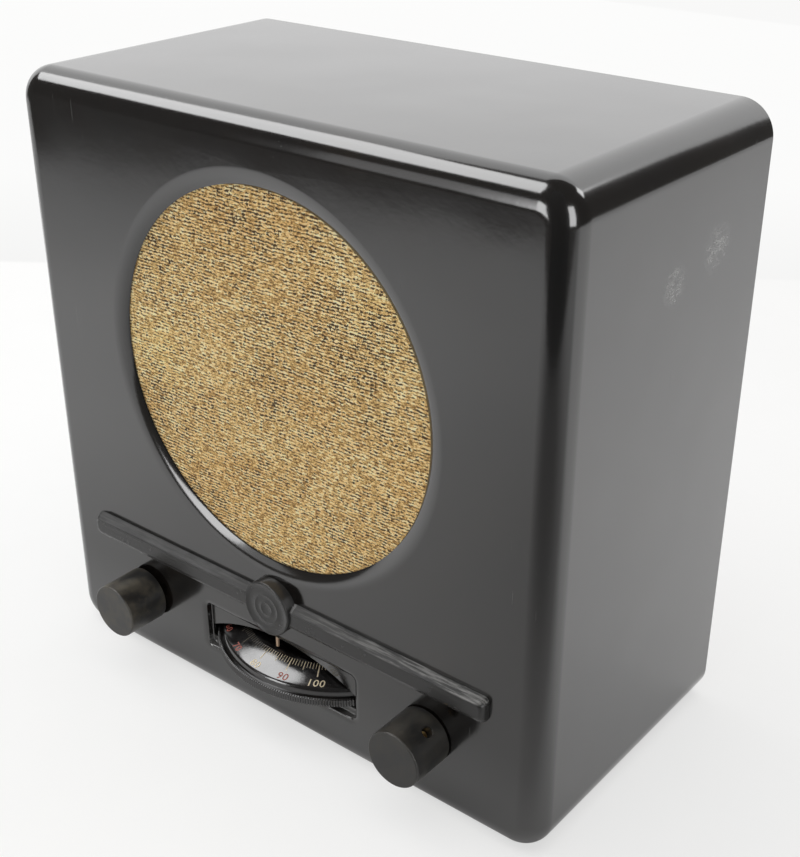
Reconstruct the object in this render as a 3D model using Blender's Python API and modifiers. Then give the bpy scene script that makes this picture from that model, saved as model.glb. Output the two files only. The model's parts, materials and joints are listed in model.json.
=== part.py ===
"""A small bakelite table radio: moulded case, loudspeaker, dial wheel, two knobs and the mains chassis.

Frame: X to the right of someone facing the radio, Z up, the front faces -Y, and the origin is at the middle
of the underside. Lengths below are in millimetres and become metres through MM. A "depth" is measured
backwards from the flat front face.
"""

import math

import bmesh
import bpy
from mathutils import Matrix, Vector

MM = 0.001
GROUP = "bakelite_radio"

# Case
WIDTH = 240.0
HEIGHT = 239.6
DEPTH = 121.4
HALF_DEPTH = DEPTH / 2
WALL = 3.2
CORNER_RADIUS = 12.7
FRONT_FILLET = 9.3
REAR_BREAK = 0.8
INNER_FILLET = 6.0
COVER_REBATE_DEPTH = 117.2
COVER_REBATE_INSET = 1.7

# Loudspeaker opening
SPEAKER_Z = 145.4
OPENING_RADIUS = 70.8
FLARE = (
    (0, 2.25),
    (0.3, 2.0),
    (0.7, 1.73),
    (1.6, 1.25),
    (2.6, 0.81),
    (3.6, 0.47),
    (4.6, 0.21),
    (5.6, 0.05),
)
FLARE_WIDTH = 6.6
CLOTH_SEAT_RADIUS = 77.6
CLOTH_SEAT_DEPTH = 2.3
JUST_PROUD = 0.004

# Bar and boss on the front
BAR_HALF_LENGTH = 98.3
BAR_LOW = 51.2
BAR_HIGH = 61.5
BAR_PROUD = 3.8
BOSS_RADIUS = 11.1
BOSS_Z = 57.1
BOSS_PROUD = 4.9

# Dial pocket and its arched slot
POCKET_HALF_WIDTH = 38.6
POCKET_LOW = 21.2
POCKET_HIGH = 41.0
POCKET_CORNER = 2.4
POCKET_DEPTH = 2.7
POCKET_BACK = 4.4
POCKET_FLARE = 2.6
POCKET_FLARE_DEPTH = 0.9
ARCH_HALF_WIDTH = 37.8
ARCH_LOW = 24.2
ARCH_TOP = 39.1
ARCH_RADIUS = 81.0
INDEX_X = -0.5

# Dial wheel and tuning spindle
DIAL_DEPTH = 37.0
FIT = 0.3

# Knobs and their shafts
KNOB_X = 71.5
KNOB_Z = 32.8
KNOB_RADIUS = 11.0
KNOB_LENGTH = 18.0
SHAFT_RADIUS = 3.0
SHAFT_HOLE = 4.2

# Chassis
CHASSIS_TOP = 49.2
CHASSIS_SHEET = 1.2
CHASSIS_FRONT = 14.0
CHASSIS_REAR = 112.0
CHASSIS_HALF_WIDTH = 112.0
CHASSIS_LIP = 41.0
ON_CHASSIS = CHASSIS_TOP + FIT
ROTOR_START = math.radians(33)
COIL_DEPTH = 58.0

# Valves: where each stands as (x, depth), then its base radius, bulb radius and top
VALVE_SPOTS = {"output_valve": (-62.0, 84.0), "rectifier_valve": (62.0, 84.0)}
VALVES = {"output_valve": (15.0, 13.0, 128.0), "rectifier_valve": (13.5, 11.0, 112.0)}

# Facets
FINE = 72
ROUND = 40
SMALL = 20
TINY = 10
SHARP = math.radians(40)

BLACK_BAKELITE = ("black_bakelite", (0.012, 0.011, 0.010), 0.16, 0.0)
KNOB_BAKELITE = ("knob_bakelite", (0.018, 0.016, 0.013), 0.42, 0.0)
DIAL_BAKELITE = ("dial_bakelite", (0.008, 0.008, 0.009), 0.10, 0.0)
CREAM_PAINT = ("cream_paint", (0.80, 0.70, 0.50), 0.50, 0.0)
WOVEN_CLOTH = ("woven_cloth", (0.58, 0.38, 0.17), 0.90, 0.0)
FIBRE_BOARD = ("fibre_board", (0.16, 0.10, 0.06), 0.80, 0.0)
HARD_PAPER = ("hard_paper", (0.20, 0.10, 0.045), 0.55, 0.0)
CONE_PAPER = ("cone_paper", (0.055, 0.048, 0.042), 0.92, 0.0)
WAXED_PAPER = ("waxed_paper", (0.46, 0.33, 0.17), 0.60, 0.0)
PAINTED_STEEL = ("painted_steel", (0.09, 0.09, 0.09), 0.45, 0.6)
PLATED_STEEL = ("plated_steel", (0.56, 0.55, 0.53), 0.32, 1.0)
MAGNET_IRON = ("magnet_iron", (0.16, 0.045, 0.035), 0.50, 0.2)
BRASS = ("brass", (0.66, 0.47, 0.20), 0.30, 1.0)
ALUMINIUM = ("aluminium", (0.72, 0.73, 0.74), 0.35, 1.0)
COPPER_WIRE = ("copper_wire", (0.50, 0.18, 0.07), 0.35, 0.8)
GREEN_SILK = ("green_silk_wire", (0.05, 0.15, 0.07), 0.75, 0.0)
CERAMIC = ("ceramic", (0.62, 0.56, 0.46), 0.55, 0.0)
RESISTOR_WIRE = ("resistance_wire", (0.22, 0.20, 0.18), 0.40, 0.9)
VALVE_GLASS = ("valve_glass", (0.35, 0.35, 0.34), 0.12, 0.6)
BLACK_RUBBER = ("black_rubber", (0.02, 0.02, 0.02), 0.75, 0.0)
RESISTOR_LACQUER = ("resistor_lacquer", (0.30, 0.07, 0.03), 0.40, 0.0)


for old in list(bpy.data.objects):
    bpy.data.objects.remove(old, do_unlink=True)


def new_collection(name):
    group = bpy.data.collections.new(name)
    bpy.context.scene.collection.children.link(group)
    return group


PARTS = new_collection(GROUP)
CUTTERS = new_collection("cutters")


def material(spec):
    name, colour, roughness, metallic = spec
    found = bpy.data.materials.get(name)
    if found:
        return found
    made = bpy.data.materials.new(name)
    made.use_nodes = True
    shader = made.node_tree.nodes["Principled BSDF"]
    shader.inputs["Base Color"].default_value = (*colour, 1.0)
    shader.inputs["Roughness"].default_value = roughness
    shader.inputs["Metallic"].default_value = metallic
    made.diffuse_color = (*colour, 1.0)
    return made


def at(x, depth, z):
    """A point in metres from its x, its depth behind the front face and its height, in millimetres."""
    return Vector((x * MM, (depth - HALF_DEPTH) * MM, z * MM))


def place(name, data, spec=None):
    """Puts the data in the scene as a part, or as a hidden tool where it has no material."""
    obj = bpy.data.objects.new(name, data)
    if spec:
        PARTS.objects.link(obj)
        data.materials.append(material(spec))
    else:
        CUTTERS.objects.link(obj)
        obj.hide_render = True
        obj.display_type = "WIRE"
    return obj


def from_bmesh(name, bm, spec=None):
    mesh = bpy.data.meshes.new(name)
    bmesh.ops.recalc_face_normals(bm, faces=bm.faces)
    bm.to_mesh(mesh)
    bm.free()
    return place(name, mesh, spec)


def soften(obj, angle=SHARP):
    """Smooth shading that keeps edges over the angle sharp."""
    obj.data.shade_smooth()
    obj.data.set_sharp_from_angle(angle=angle)


def bevel(obj, width, segments=2):
    made = obj.modifiers.new("edge", "BEVEL")
    made.width = width * MM
    made.segments = segments
    made.limit_method = "ANGLE"
    made.angle_limit = SHARP


def combine(obj, operation, tools):
    for tool in tools:
        made = obj.modifiers.new(f"{operation.lower()} {tool.name}", "BOOLEAN")
        made.operation = operation
        made.object = tool


def cut(obj, *tools):
    combine(obj, "DIFFERENCE", tools)


def join(obj, *tools):
    combine(obj, "UNION", tools)


def loft(name, rings, spec=None):
    """A closed solid through rings of points, each ring as long as the next, closed flat at both ends."""
    bm = bmesh.new()
    rows = [[bm.verts.new(point) for point in ring] for ring in rings]
    count = len(rows[0])
    for low, high in zip(rows, rows[1:]):
        for i in range(count):
            j = (i + 1) % count
            bm.faces.new((low[i], low[j], high[j], high[i]))
    bm.faces.new(rows[0])
    bm.faces.new(list(reversed(rows[-1])))
    obj = from_bmesh(name, bm, spec)
    soften(obj)
    return obj


def rounded_ring(half_width, low, high, radius, depth, steps=6):
    """A rounded rectangle in the plane at one depth, centred on x = 0."""
    centres = (
        (half_width - radius, high - radius, 0),
        (radius - half_width, high - radius, 1),
        (radius - half_width, low + radius, 2),
        (half_width - radius, low + radius, 3),
    )
    ring = []
    for x, z, quarter in centres:
        for i in range(steps + 1):
            turn = (quarter + i / steps) * math.pi / 2
            ring.append(at(x + radius * math.cos(turn), depth, z + radius * math.sin(turn)))
    return ring


def box(name, x, depth, z, spec=None, edge=0.0):
    """A box between two values of x, of depth and of z, with broken edges where edge is given."""
    bm = bmesh.new()
    bmesh.ops.create_cube(bm, size=1.0)
    size = Vector((x[1] - x[0], depth[1] - depth[0], z[1] - z[0])) * MM
    bmesh.ops.scale(bm, vec=size, verts=bm.verts)
    obj = from_bmesh(name, bm, spec)
    obj.location = at(sum(x) / 2, sum(depth) / 2, sum(z) / 2)
    if edge:
        bevel(obj, edge)
    return obj


def turned(name, profile, origin, spec=None, facing="up", steps=ROUND, closed=False):
    """A turned solid from (radius, height) pairs that run down its outer side.

    facing "up" keeps the heights along Z; "back" lays them along the depth, and "side" along X.
    A closed profile goes round a bore; an open one starts and ends on the axis.
    """
    mesh = bpy.data.meshes.new(name)
    points = [(radius * MM, 0.0, height * MM) for radius, height in profile]
    edges = [(i, i + 1) for i in range(len(points) - 1)]
    if closed:
        edges.append((len(points) - 1, 0))
    mesh.from_pydata(points, edges, [])
    obj = place(name, mesh, spec)
    screw = obj.modifiers.new("turn", "SCREW")
    screw.axis = "Z"
    screw.angle = math.tau
    screw.steps = steps
    screw.render_steps = steps
    screw.use_merge_vertices = True
    screw.merge_threshold = 1e-6
    screw.use_smooth_shade = True
    obj.location = at(*origin)
    quarter = math.pi / 2
    turns = {"up": (0, 0, 0), "back": (-quarter, 0, 0), "side": (0, quarter, 0)}
    obj.rotation_euler = turns[facing]
    return obj


def rod(name, radius, low, high, origin, spec=None, facing="up", steps=SMALL, edge=0.0):
    """A round bar between two heights, with a small chamfer at both ends where edge is given."""
    if edge:
        profile = [(0, high), (radius - edge, high), (radius, high - edge)]
        profile += [(radius, low + edge), (radius - edge, low), (0, low)]
    else:
        profile = [(0, high), (radius, high), (radius, low), (0, low)]
    return turned(name, profile, origin, spec, facing, steps)


def sleeve(name, bore, radius, low, high, origin, spec=None, facing="up", steps=SMALL):
    """A plain tube between two heights."""
    profile = [(radius, high), (radius, low), (bore, low), (bore, high)]
    return turned(name, profile, origin, spec, facing, steps, closed=True)


def prism(name, outline, x, spec=None):
    """A solid with one (depth, z) outline, running between two values of x."""
    rings = [[at(side, depth, z) for depth, z in outline] for side in x]
    return loft(name, rings, spec)


def circle_points(x, y, radius, steps):
    return [
        (x + radius * math.cos(math.tau * i / steps), y + radius * math.sin(math.tau * i / steps))
        for i in range(steps)
    ]


def slot_points(x, y, half_length, radius, steps=3):
    """An upright slot with round ends."""
    points = []
    for end in (0, 1):
        for i in range(steps + 1):
            turn = math.pi * (end + i / steps)
            shift = half_length if end == 0 else -half_length
            points.append((x + radius * math.cos(turn), y + shift + radius * math.sin(turn)))
    return points


def board(name, outlines, depth, spec):
    """A flat upright board between two depths, from an outer (x, z) outline and the outlines of its holes."""
    curve = bpy.data.curves.new(name, "CURVE")
    curve.dimensions = "2D"
    curve.fill_mode = "BOTH"
    curve.extrude = (depth[1] - depth[0]) / 2 * MM
    for outline in outlines:
        spline = curve.splines.new("POLY")
        spline.points.add(len(outline) - 1)
        for point, (x, z) in zip(spline.points, outline):
            point.co = (x * MM, z * MM, 0.0, 1.0)
        spline.use_cyclic_u = True
    obj = place(name, curve, spec)
    obj.location = at(0, sum(depth) / 2, 0)
    obj.rotation_euler = (math.pi / 2, 0, 0)
    return obj


def extrusion(name, outline, depth, spec=None):
    """A solid with one (x, z) outline, running between two depths."""
    rings = [[at(x, level, z) for x, z in outline] for level in depth]
    return loft(name, rings, spec)


def pegs(name, radius, length, spots, facing="back", steps=TINY):
    """Equal round bars as one tool, each running from its spot."""
    turns = {
        "back": Matrix.Rotation(-math.pi / 2, 4, "X"),
        "up": Matrix.Identity(4),
        "side": Matrix.Rotation(math.pi / 2, 4, "Y"),
    }
    along = Matrix.Translation((0, 0, length / 2 * MM))
    bm = bmesh.new()
    for spot in spots:
        bmesh.ops.create_cone(
            bm,
            cap_ends=True,
            segments=steps,
            radius1=radius * MM,
            radius2=radius * MM,
            depth=length * MM,
            matrix=Matrix.Translation(at(*spot)) @ turns[facing] @ along,
        )
    return from_bmesh(name, bm)


def blocks(name, spans):
    """Boxes as one tool, each from its spans of x, of depth and of z."""
    bm = bmesh.new()
    for x, depth, z in spans:
        size = Vector((x[1] - x[0], depth[1] - depth[0], z[1] - z[0])) * MM
        centre = at(sum(x) / 2, sum(depth) / 2, sum(z) / 2)
        matrix = Matrix.Translation(centre) @ Matrix.Diagonal((*size, 1.0))
        bmesh.ops.create_cube(bm, size=1.0, matrix=matrix)
    return from_bmesh(name, bm)


def quarter_turns(steps):
    """Angles from 0 to a right angle."""
    return [math.pi / 2 * i / steps for i in range(steps + 1)]


def four_corners(x, low, high):
    return [(side * x, z) for side in (-1, 1) for z in (low, high)]


def hang_on_axis(name, origin, children):
    """Parents the pieces of one moving body to an empty on its axis."""
    axis = bpy.data.objects.new(name, None)
    PARTS.objects.link(axis)
    axis.location = at(*origin)
    axis.empty_display_size = 0.01
    for child in children:
        child.parent = axis
        child.matrix_parent_inverse = Matrix.Translation(-at(*origin))


COVER_BOSSES = four_corners(110.9, 9.1, 230.5)
BAFFLE_BOSSES = four_corners(80.0, SPEAKER_Z - 74.0, SPEAKER_Z + 74.0)
CHASSIS_SCREW_SPOTS = [(side * 108.0, 65.0) for side in (-1, 1)]
SOCKET_SPOTS = {"earth_socket": (-82.0, 33.0), "aerial_socket": (-58.0, 33.0)}
CORD_SPOT = (84.0, 20.0)
SPEAKER_SCREW_SPOTS = [(side * 70.6, SPEAKER_Z) for side in (-1, 1)]


# ---- case -----------------------------------------------------------------------------------------------


def inset_ring(inset, depth):
    """The case outline drawn in by an inset, at one depth."""
    return rounded_ring(WIDTH / 2 - inset, inset, HEIGHT - inset, CORNER_RADIUS - inset, depth)


def case_body():
    rings = []
    for turn in quarter_turns(6):
        inset = FRONT_FILLET * (1 - math.sin(turn))
        rings.append(inset_ring(inset, FRONT_FILLET * (1 - math.cos(turn))))
    rings.append(inset_ring(0, DEPTH - REAR_BREAK))
    rings.append(inset_ring(REAR_BREAK, DEPTH))
    return loft("case", rings, BLACK_BAKELITE)


def case_cavity():
    rings = []
    for turn in quarter_turns(4):
        inset = WALL + INNER_FILLET * (1 - math.sin(turn))
        rings.append(inset_ring(inset, WALL + INNER_FILLET * (1 - math.cos(turn))))
    rings.append(inset_ring(WALL, COVER_REBATE_DEPTH))
    rings.append(inset_ring(COVER_REBATE_INSET, COVER_REBATE_DEPTH))
    rings.append(inset_ring(COVER_REBATE_INSET, DEPTH + 1))
    return loft("cavity", rings)


def opening_tool():
    """The flared hole for the loudspeaker and, behind its lip, the seat for the cloth."""
    profile = [(0, WALL + 0.5), (CLOTH_SEAT_RADIUS, WALL + 0.5), (CLOTH_SEAT_RADIUS, CLOTH_SEAT_DEPTH)]
    profile.append((OPENING_RADIUS, CLOTH_SEAT_DEPTH))
    profile += [(OPENING_RADIUS + spread, depth) for spread, depth in FLARE]
    outer = OPENING_RADIUS + FLARE_WIDTH
    profile += [(outer, -JUST_PROUD), (outer, -1), (0, -1)]
    return turned("opening", profile, (0, 0, SPEAKER_Z), facing="back", steps=FINE)


def bar_tool():
    """The raised bar: rounded below and at its ends, sloping on top."""
    rings = []
    for depth in (1.0, -0.5):
        rings.append(rounded_ring(BAR_HALF_LENGTH, BAR_LOW, BAR_HIGH, 2.0, depth, steps=4))
    for turn in quarter_turns(5)[1:]:
        rise = math.sin(turn)
        fall = 1 - math.cos(turn)
        low = BAR_LOW + 3.3 * fall
        high = BAR_HIGH - 1.5 * rise - 0.5 * fall
        depth = -0.5 - (BAR_PROUD - 0.5) * rise
        rings.append(rounded_ring(BAR_HALF_LENGTH - 2.0 * fall, low, high, 2.0, depth, steps=4))
    return loft("bar", rings)


def boss_tool():
    """The round boss in the middle of the bar, with a thin raised rim."""
    proud = -BOSS_PROUD
    profile = [(0, 1), (BOSS_RADIUS, 1), (BOSS_RADIUS, proud + 0.4), (BOSS_RADIUS - 0.35, proud)]
    profile += [(BOSS_RADIUS - 1.0, proud), (BOSS_RADIUS - 1.3, proud + 0.3), (0, proud + 0.3)]
    return turned("boss", profile, (0, 0, BOSS_Z), facing="back")


def pocket_ring(spread, depth):
    return rounded_ring(
        POCKET_HALF_WIDTH + spread,
        POCKET_LOW - spread,
        POCKET_HIGH + spread,
        POCKET_CORNER + spread,
        depth,
        steps=4,
    )


def pocket_tool():
    """The dial pocket, with its edges rolled over into the front."""
    rings = [pocket_ring(POCKET_FLARE, -1), pocket_ring(POCKET_FLARE, -JUST_PROUD)]
    for turn in quarter_turns(5)[1:]:
        spread = POCKET_FLARE * (1 - math.sin(turn))
        rings.append(pocket_ring(spread, POCKET_FLARE_DEPTH * (1 - math.cos(turn))))
    rings.append(pocket_ring(-0.3, POCKET_DEPTH))
    return loft("pocket", rings)


def arch_tool():
    """The arched slot in the floor of the pocket that the dial wheel passes through."""
    centre = ARCH_TOP - ARCH_RADIUS
    outline = [(-ARCH_HALF_WIDTH, ARCH_LOW), (ARCH_HALF_WIDTH, ARCH_LOW)]
    for i in range(17):
        x = ARCH_HALF_WIDTH * (1 - i / 8)
        outline.append((x, centre + math.sqrt(ARCH_RADIUS**2 - x**2)))
    return extrusion("arch", outline, (1.5, POCKET_BACK + 2))


def build_case():
    case = case_body()
    cut(case, case_cavity())
    rails = blocks(
        "rails",
        [(x, (20, 110), (40, 47.6)) for x in ((-117.5, -104), (104, 117.5))],
    )
    cover_bosses = pegs("cover_bosses", 6.6, 27.0, [(x, 90, z) for x, z in COVER_BOSSES], steps=SMALL)
    baffle_bosses = pegs("baffle_bosses", 4.5, 4.9, [(x, 2.7, z) for x, z in BAFFLE_BOSSES])
    pocket_backing = blocks("pocket_backing", [((-44, 44), (WALL - 0.5, POCKET_BACK), (15, 47))])
    join(case, rails, cover_bosses, baffle_bosses, pocket_backing, bar_tool(), boss_tool())
    shafts_at = [(x, -2, KNOB_Z) for x in (-KNOB_X, KNOB_X)]
    shaft_holes = pegs("shaft_holes", SHAFT_HOLE, 8, shafts_at, steps=SMALL)
    cover_pilots = pegs("cover_pilots", 1.7, 14, [(x, 104, z) for x, z in COVER_BOSSES])
    baffle_pilots = pegs("baffle_pilots", 1.6, 4, [(x, 4.4, z) for x, z in BAFFLE_BOSSES])
    rail_pilots = pegs("rail_pilots", 1.7, 8, [(x, d, 40.8) for x, d in CHASSIS_SCREW_SPOTS], "up")
    index_slot = blocks("index_slot", [((INDEX_X - 0.75, INDEX_X + 0.75), (0.4, 1.7), (40, 45))])
    cut(case, opening_tool(), pocket_tool(), arch_tool(), shaft_holes)
    cut(case, cover_pilots, baffle_pilots, rail_pilots, index_slot)


def build_front_trim():
    box("dial_index", (INDEX_X - 0.5, INDEX_X + 0.5), (0.6, 1.4), (36.9, 44.7), CREAM_PAINT)
    cloth = [(0, 3.3), (77, 3.3), (77, 2.5), (0, 2.5)]
    turned("speaker_cloth", cloth, (0, 0, SPEAKER_Z), WOVEN_CLOTH, "back", steps=64)


# ---- loudspeaker ----------------------------------------------------------------------------------------


def build_baffle():
    outline = [(1000 * p.x, 1000 * p.z) for p in rounded_ring(90, 61.8, 229, 8, 0, steps=4)]
    holes = [circle_points(0, SPEAKER_Z, 60, 64)]
    holes += [circle_points(x, z, 5, TINY) for x, z in BAFFLE_BOSSES]
    holes += [circle_points(x, z, 1.7, 8) for x, z in SPEAKER_SCREW_SPOTS]
    board("baffle_board", [outline, *holes], (3.6, 7.5), HARD_PAPER)
    for i, (x, z) in enumerate(BAFFLE_BOSSES, 1):
        head = [(0, 9.6), (5.2, 9.2), (6.4, 8.4), (6.4, 7.9), (1.3, 7.9), (1.3, 5), (0, 5)]
        turned(f"baffle_screw_{i}", head, (x, 0, z), PLATED_STEEL, "back", steps=TINY)
    for i, (x, z) in enumerate(SPEAKER_SCREW_SPOTS, 1):
        head = [(0, 11.4), (2, 11.1), (3, 10.2), (3, 9.3), (1.3, 9.3), (1.3, 4.2), (0, 4.2)]
        turned(f"speaker_screw_{i}", head, (x, 0, z), PLATED_STEEL, "back", steps=TINY)


def build_basket():
    profile = [(9, 48.1), (25, 48.1), (60.2, 12.4), (61, 10.1), (66, 10.1), (67.6, 9), (75, 9)]
    profile += [(75, 7.8), (67, 7.8), (66.4, 8.9), (59.4, 8.9), (58.6, 11.6), (24.4, 46.9), (9, 46.9)]
    frame = turned("speaker_basket", profile, (0, 0, SPEAKER_Z), PAINTED_STEEL, "back", 24, closed=True)
    bm = bmesh.new()
    for i in range(4):
        turn = Matrix.Rotation(math.pi / 4 + i * math.pi / 2, 4, "Y")
        middle = Matrix.Translation((0, (29 - HALF_DEPTH) * MM, 45 * MM))
        size = Matrix.Diagonal((28 * MM, 22 * MM, 50 * MM, 1.0))
        lift = Matrix.Translation((0, 0, SPEAKER_Z * MM))
        bmesh.ops.create_cube(bm, size=1.0, matrix=lift @ turn @ middle @ size)
    windows = from_bmesh("basket_windows", bm)
    holes = pegs("basket_holes", 1.9, 4, [(x, 7, z) for x, z in SPEAKER_SCREW_SPOTS], steps=8)
    cut(frame, windows, holes)


def build_drive_unit():
    cone = [(0, 41), (9, 38.6), (50, 12.4), (53, 10.2), (57.4, 9.2), (59.2, 8.6), (65.8, 8.6), (65.8, 7.8)]
    cone += [(59, 7.8), (57.2, 8.4), (52.4, 9.3), (49.3, 11.6), (8.6, 37.6), (0, 40.1)]
    turned("speaker_cone", cone, (0, 0, SPEAKER_Z), CONE_PAPER, "back", steps=32)
    plate = [(-31, 118), (31, 118), (31, 178), (-31, 178)]
    board("yoke_plate", [plate, circle_points(0, SPEAKER_Z, 4, TINY)], (48.5, 51), PLATED_STEEL)
    magnet = []
    for i in range(13):
        turn = math.pi * i / 12
        magnet.append((31 * math.cos(turn), 147 + 31 * math.sin(turn)))
    magnet += [(-31, 120), (-11, 120)]
    for i in range(9):
        turn = math.pi * (1 - i / 8)
        magnet.append((11 * math.cos(turn), 147 + 11 * math.sin(turn)))
    magnet += [(11, 120), (31, 120)]
    board("speaker_magnet", [magnet], (51.4, 65.4), MAGNET_IRON)
    sleeve("speaker_coil", 3, 9, 53, 61, (0, 0, SPEAKER_Z), COPPER_WIRE, "back")
    armature = box("armature", (-8, 8), (51.3, 63.4), (119, 128), PLATED_STEEL)
    reed = blocks("reed", [((-4, 4), (62.4, 63.4), (120, 150))])
    pin = pegs("drive_pin", 1.0, 21.6, [(0, 41.3, SPEAKER_Z)], steps=8)
    join(armature, reed, pin)


# ---- chassis and tuning ---------------------------------------------------------------------------------


def build_chassis():
    top, under = CHASSIS_TOP, CHASSIS_TOP - CHASSIS_SHEET
    front, rear, lip = CHASSIS_FRONT, CHASSIS_REAR, CHASSIS_LIP
    sheet = CHASSIS_SHEET
    outline = [(front, top), (rear, top), (rear, lip), (rear - sheet, lip), (rear - sheet, under)]
    outline += [(front + sheet, under), (front + sheet, lip), (front, lip)]
    chassis = prism("chassis", outline, (-CHASSIS_HALF_WIDTH, CHASSIS_HALF_WIDTH), PAINTED_STEEL)
    tabs = [((-86, -57), (17, 18.2), (18, 48.6)), ((57, 86), (17, 18.2), (18, 48.6))]
    join(chassis, blocks("control_tabs", tabs))
    shafts = pegs("tab_holes", 3.6, 4, [(x, 16, KNOB_Z) for x in (-KNOB_X, KNOB_X)])
    corners = pegs("corner_holes", 1.9, 4, [(x, d, 46) for x, d in CHASSIS_SCREW_SPOTS], "up")
    valves = pegs("valve_holes", 12.6, 4, [(x, d, 46) for x, d in VALVE_SPOTS.values()], "up", SMALL)
    spindle = pegs("spindle_hole", 3.6, 4, [(0, DIAL_DEPTH, 46)], "up", SMALL)
    cut(chassis, shafts, corners, valves, spindle)
    for i, (x, depth) in enumerate(CHASSIS_SCREW_SPOTS, 1):
        head = [(0, 51.4), (2.2, 51.1), (3.4, 50), (3.4, ON_CHASSIS), (1.4, ON_CHASSIS), (1.4, 42), (0, 42)]
        turned(f"chassis_screw_{i}", head, (x, depth, 0), PLATED_STEEL, steps=TINY)


def sector(name, inner, outer, start, sweep, levels, spec=None, thickness=0.8, steps=10):
    """Equal flat plates, each a sector of a ring round the dial axis, at several heights."""
    bm = bmesh.new()
    for level in levels:
        rows = []
        for z in (level, level + thickness):
            arcs = []
            for radius, way in ((outer, 1), (inner, -1)):
                arc = [start + sweep * i / steps for i in range(steps + 1)][::way]
                arcs += [(radius * math.cos(a), DIAL_DEPTH + radius * math.sin(a)) for a in arc]
            rows.append([bm.verts.new(at(x, depth, z)) for x, depth in arcs])
        count = len(rows[0])
        for i in range(count):
            j = (i + 1) % count
            bm.faces.new((rows[0][i], rows[0][j], rows[1][j], rows[1][i]))
        bm.faces.new(rows[0])
        bm.faces.new(list(reversed(rows[1])))
    return from_bmesh(name, bm, spec)


def build_tuning():
    axis = (0, DIAL_DEPTH, 0)
    wheel = [(7, 41), (7, 30), (26, 30), (28, 36), (32, 36), (35.5, 35.8), (38.6, 35.2), (41.4, 34.2)]
    wheel += [(43.6, 33), (45.2, 31.6), (46.3, 30), (46.9, 28.4), (49, 28), (49.4, 27.5)]
    wheel += [(49.4, 24.9), (49, 24.5), (3.3, 24.5), (3.3, 41)]
    dial = turned("dial_wheel", wheel, axis, DIAL_BAKELITE, steps=ROUND, closed=True)
    shaft = [(0, 79), (2.6, 79), (3, 78.6), (3, 27), (1.7, 27), (1.7, 38), (0, 38)]
    spindle = turned("tuning_spindle", shaft, axis, PLATED_STEEL, steps=SMALL)
    head = [(0, 37), (1.4, 37), (1.4, 24.2), (5.2, 24.2), (5.2, 23.2), (4.2, 22.4), (0, 22.4)]
    screw = turned("dial_screw", head, axis, BRASS, steps=TINY)
    rotor = sector("tuning_rotor", 4, 15.8, ROTOR_START, math.pi, (59, 63, 67, 71), ALUMINIUM)
    hub = [(5, 74.5), (5, 54.5), (3.2, 54.5), (3.2, 74.5)]
    join(rotor, turned("rotor_hub", hub, axis, steps=SMALL, closed=True))
    hang_on_axis("dial_axis", axis, [dial, spindle, screw, rotor])
    plates = sector("tuning_stator", 5.5, 18.5, 0.09, math.pi - 0.18, (57, 61, 65, 69), ALUMINIUM)
    posts = pegs("stator_posts", 1.2, 16, [(x, DIAL_DEPTH + 12.6, 55.2) for x in (-12.6, 12.6)], "up", 8)
    join(plates, posts)
    outline = [(18, 53.1), (18, 51.9), (58.8, 51.9), (58.8, ON_CHASSIS), (68, ON_CHASSIS), (68, 50.7)]
    outline += [(60, 50.7), (60, 76.8), (18, 76.8), (18, 75.6), (58.8, 75.6), (58.8, 53.1)]
    frame = prism("tuning_frame", outline, (-20, 20), ALUMINIUM)
    cut(frame, pegs("frame_holes", 3.5, 30, [(0, DIAL_DEPTH, 50)], "up", SMALL))


# ---- controls -------------------------------------------------------------------------------------------


def across(obj, turn):
    """Turns an upright piece so that it stands out from a knob axis at an angle above X."""
    obj.rotation_euler = (0, math.pi / 2 - turn, 0)
    return obj


def build_knob(name, x, face, hole_depth, hole_turn):
    """A plain turned knob with a chamfered face, a blind bore and a grub screw in its side."""
    back = face + KNOB_LENGTH - 0.2
    profile = [(0, face + 3.6), (3.3, face + 3.6), (3.3, back), (5.4, back), (5.4, back - 3)]
    profile += [(9.6, back - 3), (9.6, back), (KNOB_RADIUS + 0.1, back), (KNOB_RADIUS, face + 0.7)]
    profile.append((KNOB_RADIUS - 0.2, face + 0.2))
    profile += [(KNOB_RADIUS - 0.7, face), (0, face)]
    knob = turned(name, profile, (x, 0, KNOB_Z), KNOB_BAKELITE, "back", steps=36)
    spot = (x, hole_depth, KNOB_Z)
    hole = across(rod(f"{name}_hole", 2.0, 2.6, KNOB_RADIUS + 1, spot, steps=16), hole_turn)
    cut(knob, hole)
    screw = across(rod(f"{name}_screw", 1.7, 3.3, 8, spot, BRASS, steps=16, edge=0.2), hole_turn)
    slot = box(f"{name}_slot", (-3, 3), (-0.3, 0.3), (7.2, 9))
    slot.data.transform(Matrix.Translation((0, 0, 8.1 * MM)))
    slot.location = at(*spot)
    cut(screw, across(slot, hole_turn))
    return [knob, screw]


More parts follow.
